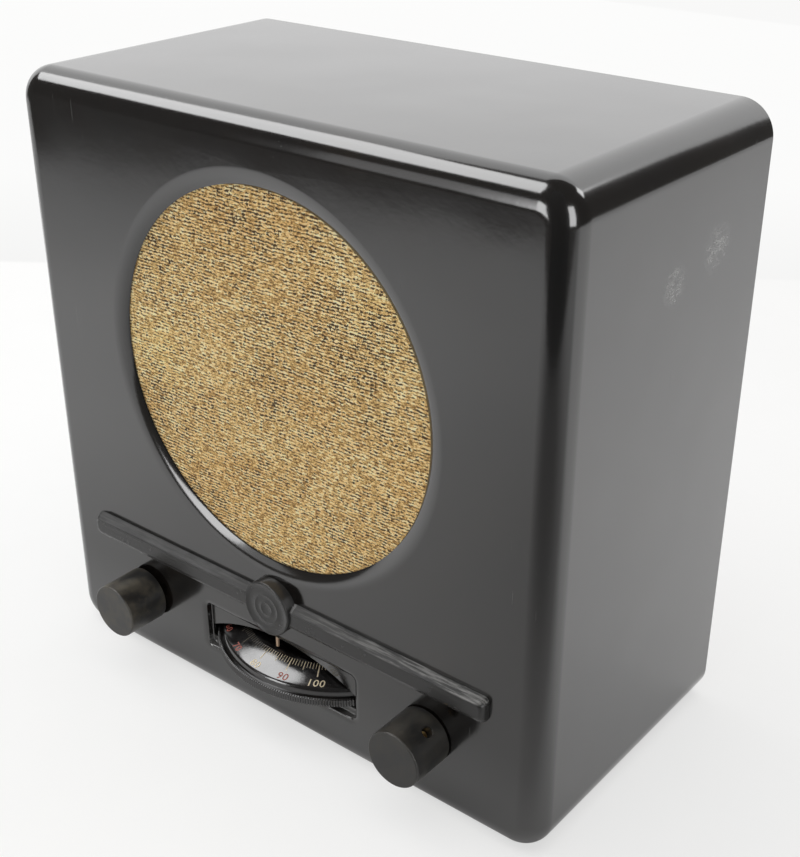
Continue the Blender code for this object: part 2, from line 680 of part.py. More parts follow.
def build_reaction_control():
    axis = (-KNOB_X, 0, KNOB_Z)
    pieces = build_knob("reaction_knob", -KNOB_X, -19.6, -8.4, math.radians(-100))
    shaft = rod("reaction_shaft", SHAFT_RADIUS, -15.6, 43, axis, PLATED_STEEL, "back", edge=0.4)
    hub = [(5, 28), (5, 21), (3.2, 21), (3.2, 28)]
    vane = turned("reaction_vane", hub, axis, BRASS, "back", steps=TINY, closed=True)
    half_disc = [(11 * math.cos(a), 11 * math.sin(a)) for a in (math.pi * i / 14 for i in range(15))]
    leaf = extrusion("vane_leaf", [(x - KNOB_X, z + KNOB_Z) for x, z in half_disc], (24, 25))
    cut(leaf, pegs("leaf_hole", 4, 4, [(-KNOB_X, 22, KNOB_Z)]))
    join(vane, leaf)
    hang_on_axis("reaction_axis", axis, [*pieces, shaft, vane])
    cup = [(13.6, 30), (13.6, 18.6), (3.6, 18.6), (3.6, 20), (12.4, 20), (12.4, 30)]
    turned("reaction_capacitor", cup, axis, HARD_PAPER, "back", steps=SMALL, closed=True)
    switch = box("mains_switch", (-82.5, -60.5), (30.4, 44.6), (21.8, 43.8), HARD_PAPER, edge=0.8)
    cut(switch, pegs("switch_bore", 3.6, 20, [(-KNOB_X, 28, KNOB_Z)], steps=SMALL))


def build_coupling_control():
    axis = (KNOB_X, 0, KNOB_Z)
    middle = (KNOB_X, COIL_DEPTH, KNOB_Z)
    pieces = build_knob("coupling_knob", KNOB_X, -18.4, -7.4, math.radians(52.5))
    shaft = rod("coupling_shaft", SHAFT_RADIUS, -14.4, 56, axis, PLATED_STEEL, "back", edge=0.4)
    groove = [(10.4, 4.5), (10.4, 3), (9.2, 2.6), (9.2, -2.6), (10.4, -3), (10.4, -4.5)]
    coil = turned("coupling_coil", [(0, 4.5), *groove, (0, -4.5)], middle, GREEN_SILK, "side", steps=SMALL)
    cut(coil, pegs("coil_bore", 3.3, 12, [(KNOB_X, 45, KNOB_Z)]))
    hang_on_axis("coupling_axis", axis, [*pieces, shaft, coil])
    former = sleeve("coil_former", 12.4, 13.4, -12, 12, middle, HARD_PAPER, "side")
    join(former, blocks("former_lug", [((69.5, 73.5), (54, 62), (45.6, 47.7))]))
    cut(former, pegs("former_hole", 4, 10, [(KNOB_X, 40, KNOB_Z)]))
    sleeve("tuning_winding", 13.7, 14.6, -11, -5, middle, COPPER_WIRE, "side")


# ---- valves and supply ----------------------------------------------------------------------------------


def build_valve(name, spot, base, glass, top):
    """A valve on the chassis: its socket, its base with a locating spigot and its silvered bulb."""
    x, depth = spot
    origin = (x, depth, 0)
    socket = [(17, 51.7), (17, ON_CHASSIS), (12.2, ON_CHASSIS), (12.2, 42), (4, 42), (4, 51.7)]
    turned(f"{name}_socket", socket, origin, HARD_PAPER, steps=SMALL, closed=True)
    skirt = [(0, 70), (base - 1.6, 70), (base, 69), (base, 52.4), (base - 1, 52)]
    skirt += [(3.6, 52), (3.6, 44.5), (0, 44.5)]
    turned(f"{name}_base", skirt, origin, BLACK_BAKELITE, steps=SMALL)
    wall = 1.1
    outer = [(0, top), (glass * 0.4, top - 0.7), (glass * 0.74, top - 3.4), (glass * 0.95, top - 8.5)]
    outer += [(glass, top - 16), (glass, 84), (glass * 0.94, 76), (glass * 0.82, 70.4)]
    inner = [(glass * 0.82 - wall, 70.4), (glass * 0.94 - wall, 76), (glass - wall, 84)]
    inner += [(glass - wall, top - 16), (glass * 0.95 - wall, top - 9), (glass * 0.68, top - 4.4)]
    inner += [(glass * 0.36, top - 1.9), (0, top - 1.2)]
    turned(f"{name}_bulb", outer + inner, origin, VALVE_GLASS, steps=16)


def build_supply():
    middle = (0, 101, 66)
    tube = [(7, 32), (7, -32), (2.3, -32), (2.3, 32)]
    turned("dropper_tube", tube, middle, CERAMIC, "side", steps=SMALL, closed=True)
    sleeve("dropper_winding", 7.3, 8.0, -27, 27, middle, RESISTOR_WIRE, "side")
    for side, name in ((-1, "dropper_bracket_left"), (1, "dropper_bracket_right")):
        outline = [(32.3, ON_CHASSIS), (44, ON_CHASSIS), (44, 50.7), (33.5, 50.7), (33.5, 72), (32.3, 72)]
        bracket = extrusion(name, [(side * x, z) for x, z in outline], (96, 106), PLATED_STEEL)
        join(bracket, pegs(f"{name}_pip", 1.9, 6, [(side * 31 - 3, 101, 66)], "side", 8))
    box("smoothing_capacitor", (-24, 24), (72, 92), (ON_CHASSIS, 92), WAXED_PAPER, edge=1.0)


def build_small_parts():
    tag_board = box("tag_board", (-46, 46), (89.5, 107.5), (30, 31.6), HARD_PAPER)
    posts = [((-45, -41), (96, 100), (31, 47.7)), ((41, 45), (96, 100), (31, 47.7))]
    join(tag_board, blocks("tag_posts", posts))
    body = [(0, 18), (0.5, 18), (0.5, 14), (5.2, 14), (5.5, 13.6), (5.5, -13.6), (5.2, -14)]
    body += [(0.5, -14), (0.5, -18), (0, -18)]
    turned("paper_capacitor", body, (-18, 98.5, 37.6), WAXED_PAPER, "side", steps=16)
    body = [(0, 13), (0.4, 13), (0.4, 8), (2.4, 8), (2.4, -8), (0.4, -8), (0.4, -13), (0, -13)]
    turned("resistor", body, (22, 98.5, 34.5), RESISTOR_LACQUER, "side", steps=TINY)


# ---- rear -----------------------------------------------------------------------------------------------


def build_rear():
    strip = [(-96, 24), (-44, 24), (-44, 46), (-96, 46)]
    holes = [circle_points(x, z, 3.9, TINY) for x, z in SOCKET_SPOTS.values()]
    board("socket_strip", [strip, *holes], (112.4, 114.4), HARD_PAPER)
    for name, (x, z) in SOCKET_SPOTS.items():
        barrel = [(4, 119.4), (4, 116), (5.8, 116), (5.8, 114.7)]
        barrel += [(3.6, 114.7), (3.6, 108.5), (2.1, 108.5), (2.1, 119.4)]
        turned(name, barrel, (x, 0, z), BRASS, "back", steps=TINY, closed=True)
    inset = COVER_REBATE_INSET + 0.4
    ring = inset_ring(inset, 0)
    outline = [(point.x / MM, point.z / MM) for point in ring]
    holes = [circle_points(x, z, 2.0, 8) for x, z in COVER_BOSSES]
    holes += [circle_points(x, z, 5.0, TINY) for x, z in SOCKET_SPOTS.values()]
    holes.append(circle_points(*CORD_SPOT, 5.4, TINY))
    holes += [slot_points(x, z, 8, 2.2) for x in range(-72, 73, 16) for z in (206, 178)]
    board("back_cover", [outline, *holes], (117.6, 119.8), FIBRE_BOARD)
    for i, (x, z) in enumerate(COVER_BOSSES, 1):
        head = [(0, 121.3), (2.6, 121.2), (3.6, 120.6), (3.6, 120.1), (1.3, 120.1), (1.3, 105), (0, 105)]
        turned(f"cover_screw_{i}", head, (x, 0, z), PLATED_STEEL, "back", steps=TINY)
    bush = [(7, 121.2), (7, 120.1), (5.1, 120.1), (5.1, 117.3)]
    bush += [(7, 117.3), (7, 116.2), (3.2, 116.2), (3.2, 121.2)]
    turned("cord_bush", bush, (CORD_SPOT[0], 0, CORD_SPOT[1]), BLACK_RUBBER, "back", steps=16, closed=True)


build_case()
build_front_trim()
build_baffle()
build_basket()
build_drive_unit()
build_chassis()
build_tuning()
build_reaction_control()
build_coupling_control()
for valve_name, valve_size in VALVES.items():
    build_valve(valve_name, VALVE_SPOTS[valve_name], *valve_size)
build_supply()
build_small_parts()
build_rear()
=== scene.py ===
"""The looks of a small bakelite table radio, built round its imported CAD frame.

The frame puts the origin at the middle of the underside, with the front facing -Y and Z up. Lengths are in
millimetres and become metres through MM, and a "depth" is measured backwards from the flat front face.
"""

import json
import math
import random

import bmesh
import bpy
from mathutils import Matrix, Vector


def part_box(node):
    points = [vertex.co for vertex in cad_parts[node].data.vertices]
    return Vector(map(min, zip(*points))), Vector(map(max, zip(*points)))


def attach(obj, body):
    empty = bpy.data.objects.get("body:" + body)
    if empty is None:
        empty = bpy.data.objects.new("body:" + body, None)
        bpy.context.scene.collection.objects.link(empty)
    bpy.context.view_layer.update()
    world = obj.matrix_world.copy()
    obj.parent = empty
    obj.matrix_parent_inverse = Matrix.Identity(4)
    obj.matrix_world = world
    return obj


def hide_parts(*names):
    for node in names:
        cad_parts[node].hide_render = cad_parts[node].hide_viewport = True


MM = 0.001
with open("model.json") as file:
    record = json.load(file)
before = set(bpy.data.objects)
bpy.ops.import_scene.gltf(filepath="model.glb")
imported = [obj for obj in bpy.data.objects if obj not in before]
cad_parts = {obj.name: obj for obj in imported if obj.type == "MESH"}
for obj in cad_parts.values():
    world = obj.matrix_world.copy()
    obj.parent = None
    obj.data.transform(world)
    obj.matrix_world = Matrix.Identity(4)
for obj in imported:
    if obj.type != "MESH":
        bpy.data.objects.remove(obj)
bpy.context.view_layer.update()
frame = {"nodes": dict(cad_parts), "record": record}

CASE_LOW, CASE_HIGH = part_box("case")
WIDTH = (CASE_HIGH[0] - CASE_LOW[0]) / MM
HEIGHT = CASE_HIGH[2] / MM
HALF_DEPTH = CASE_HIGH[1] / MM
DEPTH = 2 * HALF_DEPTH

CORNER_RADIUS = 12.7
FRONT_FILLET = 9.3
REAR_BREAK = 0.8
WALL = 3.2
INNER_FILLET = 6.0
COVER_REBATE_DEPTH = 117.2
COVER_REBATE_INSET = 1.7
SPEAKER_Z = 145.4
OPENING_RADIUS = 70.8
FLARE = ((5.6, 0.05), (4.6, 0.21), (3.6, 0.47), (2.6, 0.81), (1.6, 1.25), (0.7, 1.73), (0.3, 2.0), (0, 2.25))
FLARE_WIDTH = 6.6
CLOTH_SEAT_RADIUS = 77.6
CLOTH_SEAT_DEPTH = 2.3
JUST_PROUD = 0.004
BAR_HALF_LENGTH = 98.3
BAR_LOW = 51.2
BAR_HIGH = 61.5
BAR_PROUD = 3.8
BOSS_RADIUS = 11.1
BOSS_Z = 57.1
BOSS_PROUD = 4.9
POCKET_HALF_WIDTH = 38.6
POCKET_LOW = 21.2
POCKET_HIGH = 41.0
POCKET_CORNER = 2.4
POCKET_DEPTH = 2.7
POCKET_BACK = 4.4
POCKET_FLARE = 2.6
POCKET_FLARE_DEPTH = 0.9
POCKET_STEP = 0.3
POCKET_FILLET = 0.5
ARCH_HALF_WIDTH = 37.8
ARCH_LOW = 24.2
ARCH_TOP = 39.1
ARCH_RADIUS = 81.0
INDEX_X = -0.5
DIAL_DEPTH = 37.0
KNOB_X = 71.5
KNOB_Z = 32.8
KNOB_RADIUS = 11.0
SHAFT_HOLE = 4.2

CAMERA_SPOT = (302.5, -299.5, 346.8)
CAMERA_AIM = (61.18, 0.0, 145.72)
CAMERA_LENS = 57.28
CAMERA_SHIFT = (-0.0028, 0.0143)

DIAL_START = -5.6
DEGREES_PER_DIVISION = 1.725
READING_THERE = 80
FIGURE_RADIUS = 44.9
FIGURE_SIZE = 3.9
RED_FIGURES = (60, 70, 90)
FIGURE_WIDTH = 1.16
FIGURE_SLANT = 0.14
TICK_INNER = 37.3
TICKS = ((10, (42.4, 0.24)), (5, (40.6, 0.17)), (1, (39.6, 0.13)))
DOME = [
    (25.8, 30.2), (26.4, 33.0), (27.2, 35.0), (28.2, 35.8), (30.0, 36.0), (32.0, 36.0), (33.8, 35.95),
    (35.2, 35.85), (36.3, 35.7), (37.4, 35.3), (39.0, 34.57), (41.0, 33.62), (43.0, 32.66), (45.0, 31.70),
    (46.1, 31.15), (46.6, 30.8), (46.95, 30.3), (47.15, 29.6), (47.25, 28.9), (47.35, 28.2),
]
RIM = 49.2
KNURLS = 310

KNOB_LENGTH = 17.8
KNOB_EDGE = 0.65
KNOBS = (
    ("left_knob", "reaction_knob", "reaction_control", -KNOB_X, -19.6, -8.4, -100.0),
    ("right_knob", "coupling_knob", "coupling_control", KNOB_X, -18.4, -7.4, 52.5),
)

CLOTH_RADIUS = 77.0
CLOTH_FRONT = 2.62
CLOTH_BACK = 3.25
ROW_PITCH = 1.25
STITCH_PITCH = 1.9
HUMPS = 26

BOARD_SCREW_X = 80.0
BOARD_SCREW_RISE = 74.0
COVER_SCREW_X = 110.9
COVER_SCREW_ENDS = (9.1, 230.5)
BOARD_BOSS = (4.5, 4.9, 2.7)
BOARD_PILOT = (1.6, 4, 4.4)
COVER_BOSS = (6.6, 27.0, 90)
COVER_PILOT = (1.7, 14, 104)

# The stage is in metres, degrees and watts.
WALL_WAY = (0.818, 0.575)
WALL_DISTANCE = 0.457
WALL_SPAN = (-0.80, 0.87)
WALL_GLOW = 1.45
BACKDROP_GLOW = 0.935
FLOOR_GLOW = 0.655
TABLE_GLOW = 0.30
SOFTBOX = ((-127, 43), (-156, 25), (170, 32), (163, 49), (179, 57), (-178, 66), (-150, 70), (-128, 60))
SOFTBOX_GLOW = 4.8
CORNER_PANELS = (
    (5.0, ((-122, -8), (-105, -8), (-103, 18), (-121, 21))),
    (0.8, ((-134, -6), (-122, -6), (-122, 19), (-134, 17))),
    (4.5, ((-45, -10), (-15, -10), (-13, 34), (-36, 34))),
    (5.0, ((50, 30), (75, 29), (75, 45), (50, 47))),
)
ABOVE_POWER = 40.0
LEFT_POWER = 9.0
TABLE_OUTLINE = (
    (-1.5, -0.30), (-0.73, -0.49), (-0.58, -0.565), (-0.25, -0.61), (0.0, -0.57), (0.06, -0.52),
    (0.37, -0.41), (0.60, -0.30), (1.1, 0.0), (1.25, 0.6), (0.95, 1.4), (-1.5, 1.4),
)
PERSON = ((0.04, -0.53, 0), (0.50, -0.34, 0), (0.50, -0.34, 1.6), (0.04, -0.53, 1.6))


def at(x, depth, z):
    return Vector((x * MM, (depth - HALF_DEPTH) * MM, z * MM))


# ---- stage ----


def add(name, data):
    obj = bpy.data.objects.new(name, data)
    bpy.context.scene.collection.objects.link(obj)
    return obj


def aim(obj, target):
    obj.rotation_euler = (target - obj.location).to_track_quat("-Z", "Y").to_euler()


def make_camera():
    data = bpy.data.cameras.new("camera")
    data.lens = CAMERA_LENS
    data.sensor_width = 36.0
    data.shift_x, data.shift_y = CAMERA_SHIFT
    data.clip_start = 0.01
    camera = add("camera", data)
    camera.location = at(*CAMERA_SPOT)
    aim(camera, at(*CAMERA_AIM))
    bpy.context.scene.camera = camera


def lamp(name, spot, target, size, power):
    """An area light that polished surfaces don't mirror: the glowing panels give them their reflections."""
    data = bpy.data.lights.new(name, "AREA")
    data.shape = "RECTANGLE"
    data.size, data.size_y = size
    data.energy = power
    light = add(name, data)
    light.location = Vector(spot)
    aim(light, Vector(target))
    light.visible_camera = False
    light.visible_glossy = False


def polygon(name, points):
    mesh = bpy.data.meshes.new(name)
    mesh.from_pydata([Vector(point) for point in points], [], [tuple(range(len(points)))])
    obj = add(name, mesh)
    return obj


def only_seen_by(obj, **rays):
    for ray in ("camera", "diffuse", "glossy", "transmission", "shadow"):
        setattr(obj, f"visible_{ray}", rays.get(ray, False))


def glow_look(name, level):
    """A glowing surface whose strength is a socket or a number."""
    look = Look(name, Base_Color=(0.0, 0.0, 0.0, 1.0), Roughness=1.0, Specular_IOR_Level=0.0)
    look.shader.inputs["Emission Color"].default_value = (1.0, 1.0, 1.0, 1.0)
    look.link(level(look) if callable(level) else level, look.shader.inputs["Emission Strength"])
    return look.material


def seen_from(spot, turn, lift, reach):
    """The point at a heading (degrees from +X towards +Y), an elevation and a distance from a spot."""
    turn, lift = math.radians(turn), math.radians(lift)
    way = Vector((math.cos(lift) * math.cos(turn), math.cos(lift) * math.sin(turn), math.sin(lift)))
    return Vector(spot) + way * reach


def glow_panel(name, corners, level):
    panel = polygon(name, corners)
    panel.data.materials.append(glow_look(name, level))
    only_seen_by(panel, glossy=True)


def wall_level(look):
    """Brighter upwards, where the light above falls on it."""
    height = look.split(look.place)[2]
    return look.spread(height, 0.18, 0.33, 0.9, WALL_GLOW, smooth=True)


def floor_look():
    """White table top, with a faint band of painted shade where it curves up into the backdrop and pure white
    beyond.
    """
    look = Look("white_table", Roughness=0.9, Specular_IOR_Level=0.2)
    x, y, _ = look.split(look.place)
    away = look.plus(look.times(x, -WALL_WAY[1]), look.times(y, WALL_WAY[0]))
    reach = look.node("ShaderNodeVectorMath", operation="LENGTH")
    look.link(look.place, reach.inputs[0])
    far = look.spread(reach.outputs["Value"], 0.75, 1.5, smooth=True)
    past = look.maths("MAXIMUM", far, look.spread(away, WALL_DISTANCE - 0.002, WALL_DISTANCE + 0.002))
    # Painted shade: the backdrop glows a little less just above the line where the table meets it.
    cove_shade = look.spread(away, WALL_DISTANCE, WALL_DISTANCE + 0.22, 0.045, 0.0)
    tone = look.spread(look.noise(14.0, 5.0, 0.6), 0.3, 0.7, 0.255, 0.265)
    colour = look.node("ShaderNodeCombineColor")
    glow = look.node("ShaderNodeCombineColor")
    near_by = look.maths("SUBTRACT", 1.0, past)
    level = look.times(past, look.maths("SUBTRACT", BACKDROP_GLOW, cove_shade))
    level = look.maths("MULTIPLY_ADD", near_by, FLOOR_GLOW, level)
    kept = look.times(tone, near_by)
    for socket, glow_socket, tint in zip(colour.inputs, glow.inputs, (1.0, 1.0, 0.994)):
        look.link(look.times(kept, tint), socket)
        look.link(look.times(level, tint), glow_socket)
    look.link(glow.outputs[0], look.shader.inputs["Emission Color"])
    look.shader.inputs["Emission Strength"].default_value = 1.0
    return look.finish(colour.outputs[0])


def mirrored_table_look():
    """The table as the polished surfaces mirror it, in painted light: brighter, with a painted shadow near
    the person at the camera.
    """
    look = Look("mirrored_table", Roughness=0.9, Specular_IOR_Level=0.2)
    # Painted shadow of the person at the camera: darker and with less glow near them.
    dull = near(look, (245, -270, 0), 400, 0.2)
    mottled = look.spread(look.noise(14.0, 5.0, 0.6), 0.3, 0.7, 0.87, 0.90)
    tone = look.times(mottled, look.spread(dull, 0.0, 1.0, 1.0, 0.42))
    x, y, _ = look.split(look.place)
    # Painted pool of light at the front-left.
    before = look.times(near(look, (-330, -210, 0), 260, 0.3), 0.34)
    # Painted shade: darker and dimmer towards the front.
    front_shade = look.spread(y, -0.10, -0.02, 0.58, 1.0)
    # Darker towards the far front-left edge of the table.
    far_left = look.spread(x, -0.42, -0.32, 1.0, 0.0)
    far = look.times(look.spread(y, -0.56, -0.40, -0.36, 0.0), far_left)
    glow = look.plus(look.spread(dull, 0.0, 1.0, TABLE_GLOW, 0.0), before)
    glow = look.times(glow, front_shade)
    tone = look.times(look.plus(tone, far), front_shade)
    look.shader.inputs["Emission Color"].default_value = (1.0, 1.0, 1.0, 1.0)
    look.link(glow, look.shader.inputs["Emission Strength"])
    colour = look.node("ShaderNodeCombineColor")
    for socket in colour.inputs:
        look.link(tone, socket)
    return look.finish(colour.outputs[0])


def make_stage():
    world = bpy.data.worlds.new("room")
    bpy.context.scene.world = world
    world.use_nodes = True
    world.node_tree.nodes["Background"].inputs["Color"].default_value = (0.105, 0.10, 0.095, 1.0)
    bpy.context.scene.view_settings.view_transform = "Standard"

    floor = polygon("floor", [(-6, -6, 0), (6, -6, 0), (6, 6, 0), (-6, 6, 0)])
    floor.data.materials.append(floor_look())
    only_seen_by(floor, camera=True, diffuse=True)
    table = polygon("table", [(x, y, 0.0002) for x, y in TABLE_OUTLINE])
    table.data.materials.append(mirrored_table_look())
    only_seen_by(table, glossy=True)

    along, out = Vector((*WALL_WAY, 0)), Vector((-WALL_WAY[1], WALL_WAY[0], 0))
    ends = [out * WALL_DISTANCE + along * share for share in WALL_SPAN]
    lift = Vector((0, 0, 1.3))
    glow_panel("wall", [ends[0], ends[1], ends[1] + lift, ends[0] + lift], wall_level)
    glow_panel("softbox", [seen_from((0, -0.06, 0.24), *corner, 1.25) for corner in SOFTBOX], SOFTBOX_GLOW)
    for i, (level, corners) in enumerate(CORNER_PANELS, 1):
        glow_panel(f"panel_{i}", [seen_from((0.11, -0.05, 0.23), *corner, 1.3) for corner in corners], level)

    dome_bm = bmesh.new()
    bmesh.ops.create_uvsphere(dome_bm, u_segments=32, v_segments=16, radius=5.5)
    dome = from_bmesh("backdrop", dome_bm, glow_look("backdrop_white", BACKDROP_GLOW))
    only_seen_by(dome, camera=True)

    person = polygon("dark_clothes", PERSON)
    dark = Look("dark_cloth", Roughness=0.9)
    grey = dark.ramp(dark.noise(60.0), [(0.3, (0.05, 0.05, 0.05)), (0.7, (0.08, 0.08, 0.08))])
    person.data.materials.append(dark.finish(grey))
    only_seen_by(person, glossy=True)

    lamp("light_above", (-0.05, -0.05, 1.9), (0, 0, 0), (2.2, 2.2), ABOVE_POWER)
    lamp("light_left", (-1.12, -0.42, 0.95), (0, 0, 0.1), (1.2, 0.9), LEFT_POWER)


# ---- materials ----


class Look:
    """A material's node tree. Each call adds a node and hands back its output."""

    def __init__(self, name, **values):
        self.material = bpy.data.materials.new(name)
        self.material.use_nodes = True
        self.tree = self.material.node_tree
        self.shader = self.tree.nodes["Principled BSDF"]
        for socket, value in values.items():
            self.shader.inputs[socket.replace("_", " ")].default_value = value
        self.place = self.node("ShaderNodeTexCoord").outputs["Object"]

    def node(self, kind, **settings):
        made = self.tree.nodes.new(kind)
        for key, value in settings.items():
            setattr(made, key, value)
        return made

    def link(self, value, socket):
        if isinstance(value, (int, float)):
            socket.default_value = value
        elif isinstance(value, tuple):
            alpha = (1.0,) * (len(socket.default_value) - len(value))
            socket.default_value = (*value, *alpha)
        else:
            self.tree.links.new(value, socket)

    def maths(self, operation, first, second, third=None):
        made = self.node("ShaderNodeMath", operation=operation)
        self.link(first, made.inputs[0])
        self.link(second, made.inputs[1])
        if third is not None:
            self.link(third, made.inputs[2])
        return made.outputs[0]

    def times(self, first, second):
        return self.maths("MULTIPLY", first, second)

    def plus(self, first, second):
        return self.maths("ADD", first, second)

    def split(self, vector):
        made = self.node("ShaderNodeSeparateXYZ")
        self.link(vector, made.inputs[0])
        return made.outputs

    def point(self, x, y, z):
        made = self.node("ShaderNodeCombineXYZ")
        for value, socket in zip((x, y, z), made.inputs):
            self.link(value, socket)
        return made.outputs[0]

    def moved(self, vector, scale, turn=(0, 0, 0), shift=(0, 0, 0)):
        made = self.node("ShaderNodeMapping")
        self.link(vector, made.inputs["Vector"])
        made.inputs["Scale"].default_value = scale
        made.inputs["Rotation"].default_value = turn
        made.inputs["Location"].default_value = shift
        return made.outputs[0]

    def noise(self, per_metre, detail=3.0, roughness=0.5, vector=None):
        made = self.node("ShaderNodeTexNoise")
        self.link(self.place if vector is None else vector, made.inputs["Vector"])
        made.inputs["Scale"].default_value = per_metre
        made.inputs["Detail"].default_value = detail
        made.inputs["Roughness"].default_value = roughness
        return made.outputs["Fac"]

    def streaks(self, per_metre, detail, roughness):
        """Noise with its own fineness along each axis."""
        return self.noise(1.0, detail, roughness, self.moved(self.place, per_metre))

    def spread(self, value, low, high, to_low=0.0, to_high=1.0, smooth=False):
        made = self.node("ShaderNodeMapRange")
        if smooth:
            made.interpolation_type = "SMOOTHSTEP"
        for value_or_socket, socket in zip((value, low, high, to_low, to_high), made.inputs):
            self.link(value_or_socket, socket)
        return made.outputs[0]

    def ramp(self, value, stops):
        made = self.node("ShaderNodeValToRGB")
        self.link(value, made.inputs[0])
        elements = made.color_ramp.elements
        while len(elements) < len(stops):
            elements.new(1.0)
        for element, (position, colour) in zip(elements, stops):
            element.position = position
            element.color = (*colour, 1.0)
        return made.outputs[0]

    def mix(self, factor, first, second, blend="MIX"):
        made = self.node("ShaderNodeMix", data_type="RGBA", blend_type=blend)
        self.link(factor, made.inputs[0])
        self.link(first, made.inputs[6])
        self.link(second, made.inputs[7])
        return made.outputs[2]

    def bump(self, height, strength, distance, below=None):
        made = self.node("ShaderNodeBump")
        self.link(height, made.inputs["Height"])
        made.inputs["Strength"].default_value = strength
        made.inputs["Distance"].default_value = distance
        if below is not None:
            self.link(below, made.inputs["Normal"])
        return made.outputs[0]

    def finish(self, colour=None, roughness=None, normal=None, metallic=None):
        pairs = (("Base Color", colour), ("Roughness", roughness), ("Normal", normal), ("Metallic", metallic))
        for name, value in pairs:
            if value is not None:
                self.link(value, self.shader.inputs[name])
        return self.material


def near(look, centre, radius, soft):
    """1 within a share (soft) of a radius round a point, fading to 0 at the radius."""
    made = look.node("ShaderNodeVectorMath", operation="DISTANCE")
    look.link(look.place, made.inputs[0])
    made.inputs[1].default_value = at(*centre)
    return look.spread(made.outputs["Value"], radius * soft * MM, radius * MM, 1.0, 0.0, smooth=True)


def pocket_dust(look):
    """1 on the lower ledge of the dial pocket, which is lightened there as a painted highlight."""
    x, y, z = look.split(look.place)
    depth = look.maths("SUBTRACT", y, at(0, 0, 0).y)
    ledge = look.times(look.spread(depth, 0.0002, 0.0009), look.spread(z, 0.0245, 0.0252, 1.0, 0.0))
    ledge = look.times(ledge, look.spread(z, 0.0195, 0.0200))
    across = look.spread(look.maths("ABSOLUTE", x, 0.0), 0.040, 0.041, 1.0, 0.0)
    in_pocket = look.times(look.spread(depth, 0.0030, 0.0040, 1.0, 0.0), across)
    return look.times(ledge, in_pocket)


def polished_bakelite(name):
    """Black phenolic: a mirror-like skin with slow waves, haze, hairline scratches, settled dust and a
    painted highlight on the dial pocket's ledge.
    """
    look = Look(name, IOR=1.95)
    cloud = look.noise(9.0, 4.0, 0.6)
    body = look.ramp(
        look.noise(23.0, 5.0, 0.65),
        [(0.35, (0.0035, 0.0033, 0.0033)), (0.62, (0.0065, 0.0052, 0.0042)), (0.8, (0.012, 0.008, 0.005))],
    )

    specks = look.noise(1500.0, 2.0, 0.5)
    dust_there = look.noise(30.0, 3.0, 0.6)
    dust = look.times(look.spread(specks, 0.72, 0.80), look.spread(dust_there, 0.50, 0.72))

    scratches = None
    for turn, seed in ((0.5, 0.13), (1.35, 0.57), (2.3, 0.91)):
        lay = look.moved(look.place, (1500, 1500, 55), (turn * 0.6, turn, turn * 1.7), (seed, seed, seed))
        line = look.spread(look.noise(1.0, 1.0, 0.3, lay), 0.765, 0.80)
        scratches = line if scratches is None else look.maths("MAXIMUM", scratches, line)
    patches = look.spread(look.noise(17.0, 2.0, 0.5), 0.50, 0.66)
    scratches = look.times(scratches, patches)

    scuff_place = look.moved(look.place, (1, 1, 1.8), (0.7, 0, 0))
    scuff_grain = look.spread(look.noise(330.0, 4.0, 0.75, scuff_place), 0.42, 0.64)
    scuffs = look.times(near(look, (119.5, 61, 194), 9, 0.2), scuff_grain)
    scuffs = look.maths("MAXIMUM", scuffs, look.times(near(look, (119.5, 88, 199), 11, 0.2), scuff_grain))

    marks_and_highlight = look.plus(look.times(dust, 0.5), look.times(scratches, 0.12))
    marks_and_highlight = look.plus(marks_and_highlight, look.times(scuffs, 0.55))
    # Painted highlight: the lower ledge of the dial pocket is lightened.
    marks_and_highlight = look.plus(marks_and_highlight, look.times(pocket_dust(look), 0.17))
    colour = look.mix(marks_and_highlight, body, (0.42, 0.42, 0.41))

    haze = look.spread(cloud, 0.30, 0.72, 0.10, 0.17)
    haze = look.plus(haze, look.times(marks_and_highlight, 0.5))

    waves = look.bump(look.noise(24.0, 1.0, 0.4), 0.17, 0.0016)
    peel = look.bump(look.noise(420.0, 2.0, 0.5), 0.05, 0.0002, waves)
    fine = look.bump(scratches, 0.10, 0.0001, peel)
    return look.finish(colour, haze, fine)


def bar_bakelite():
    """The same moulding where hands have dulled it: streaks along the top of the raised bar, stronger to the
    right as a painted highlight, on a top face darkened as painted shade.
    """
    look = Look("bar_wear_and_painted_light", IOR=1.5)
    x, _, z = look.split(look.place)
    streak = look.streaks((60, 900, 900), 4.0, 0.7)
    top = look.spread(z, (BAR_HIGH - 2.4) * MM, (BAR_HIGH - 1.8) * MM)
    top = look.times(top, look.spread(look.maths("ABSOLUTE", x, 0.0), 0.0115, 0.0120))
    # Painted highlight: the light streaks grow stronger towards the right end.
    right = look.spread(x, 0.0, 0.09, 0.12, 1.0)
    worn = look.times(look.times(look.spread(streak, 0.46, 0.62), top), right)
    # Painted shade: the top face gets a darker colour than the rest of the bar.
    body = look.mix(top, (0.030, 0.0295, 0.029), (0.012, 0.012, 0.012))
    colour = look.mix(worn, body, (0.19, 0.187, 0.18))
    roughness = look.spread(look.noise(160.0, 4.0, 0.7), 0.3, 0.7, 0.16, 0.30)
    roughness = look.plus(roughness, look.times(top, 0.30))
    grain = look.bump(streak, 0.25, 0.0003)
    return look.finish(colour, roughness, look.bump(look.noise(700.0, 3.0, 0.6), 0.12, 0.0002, grain))


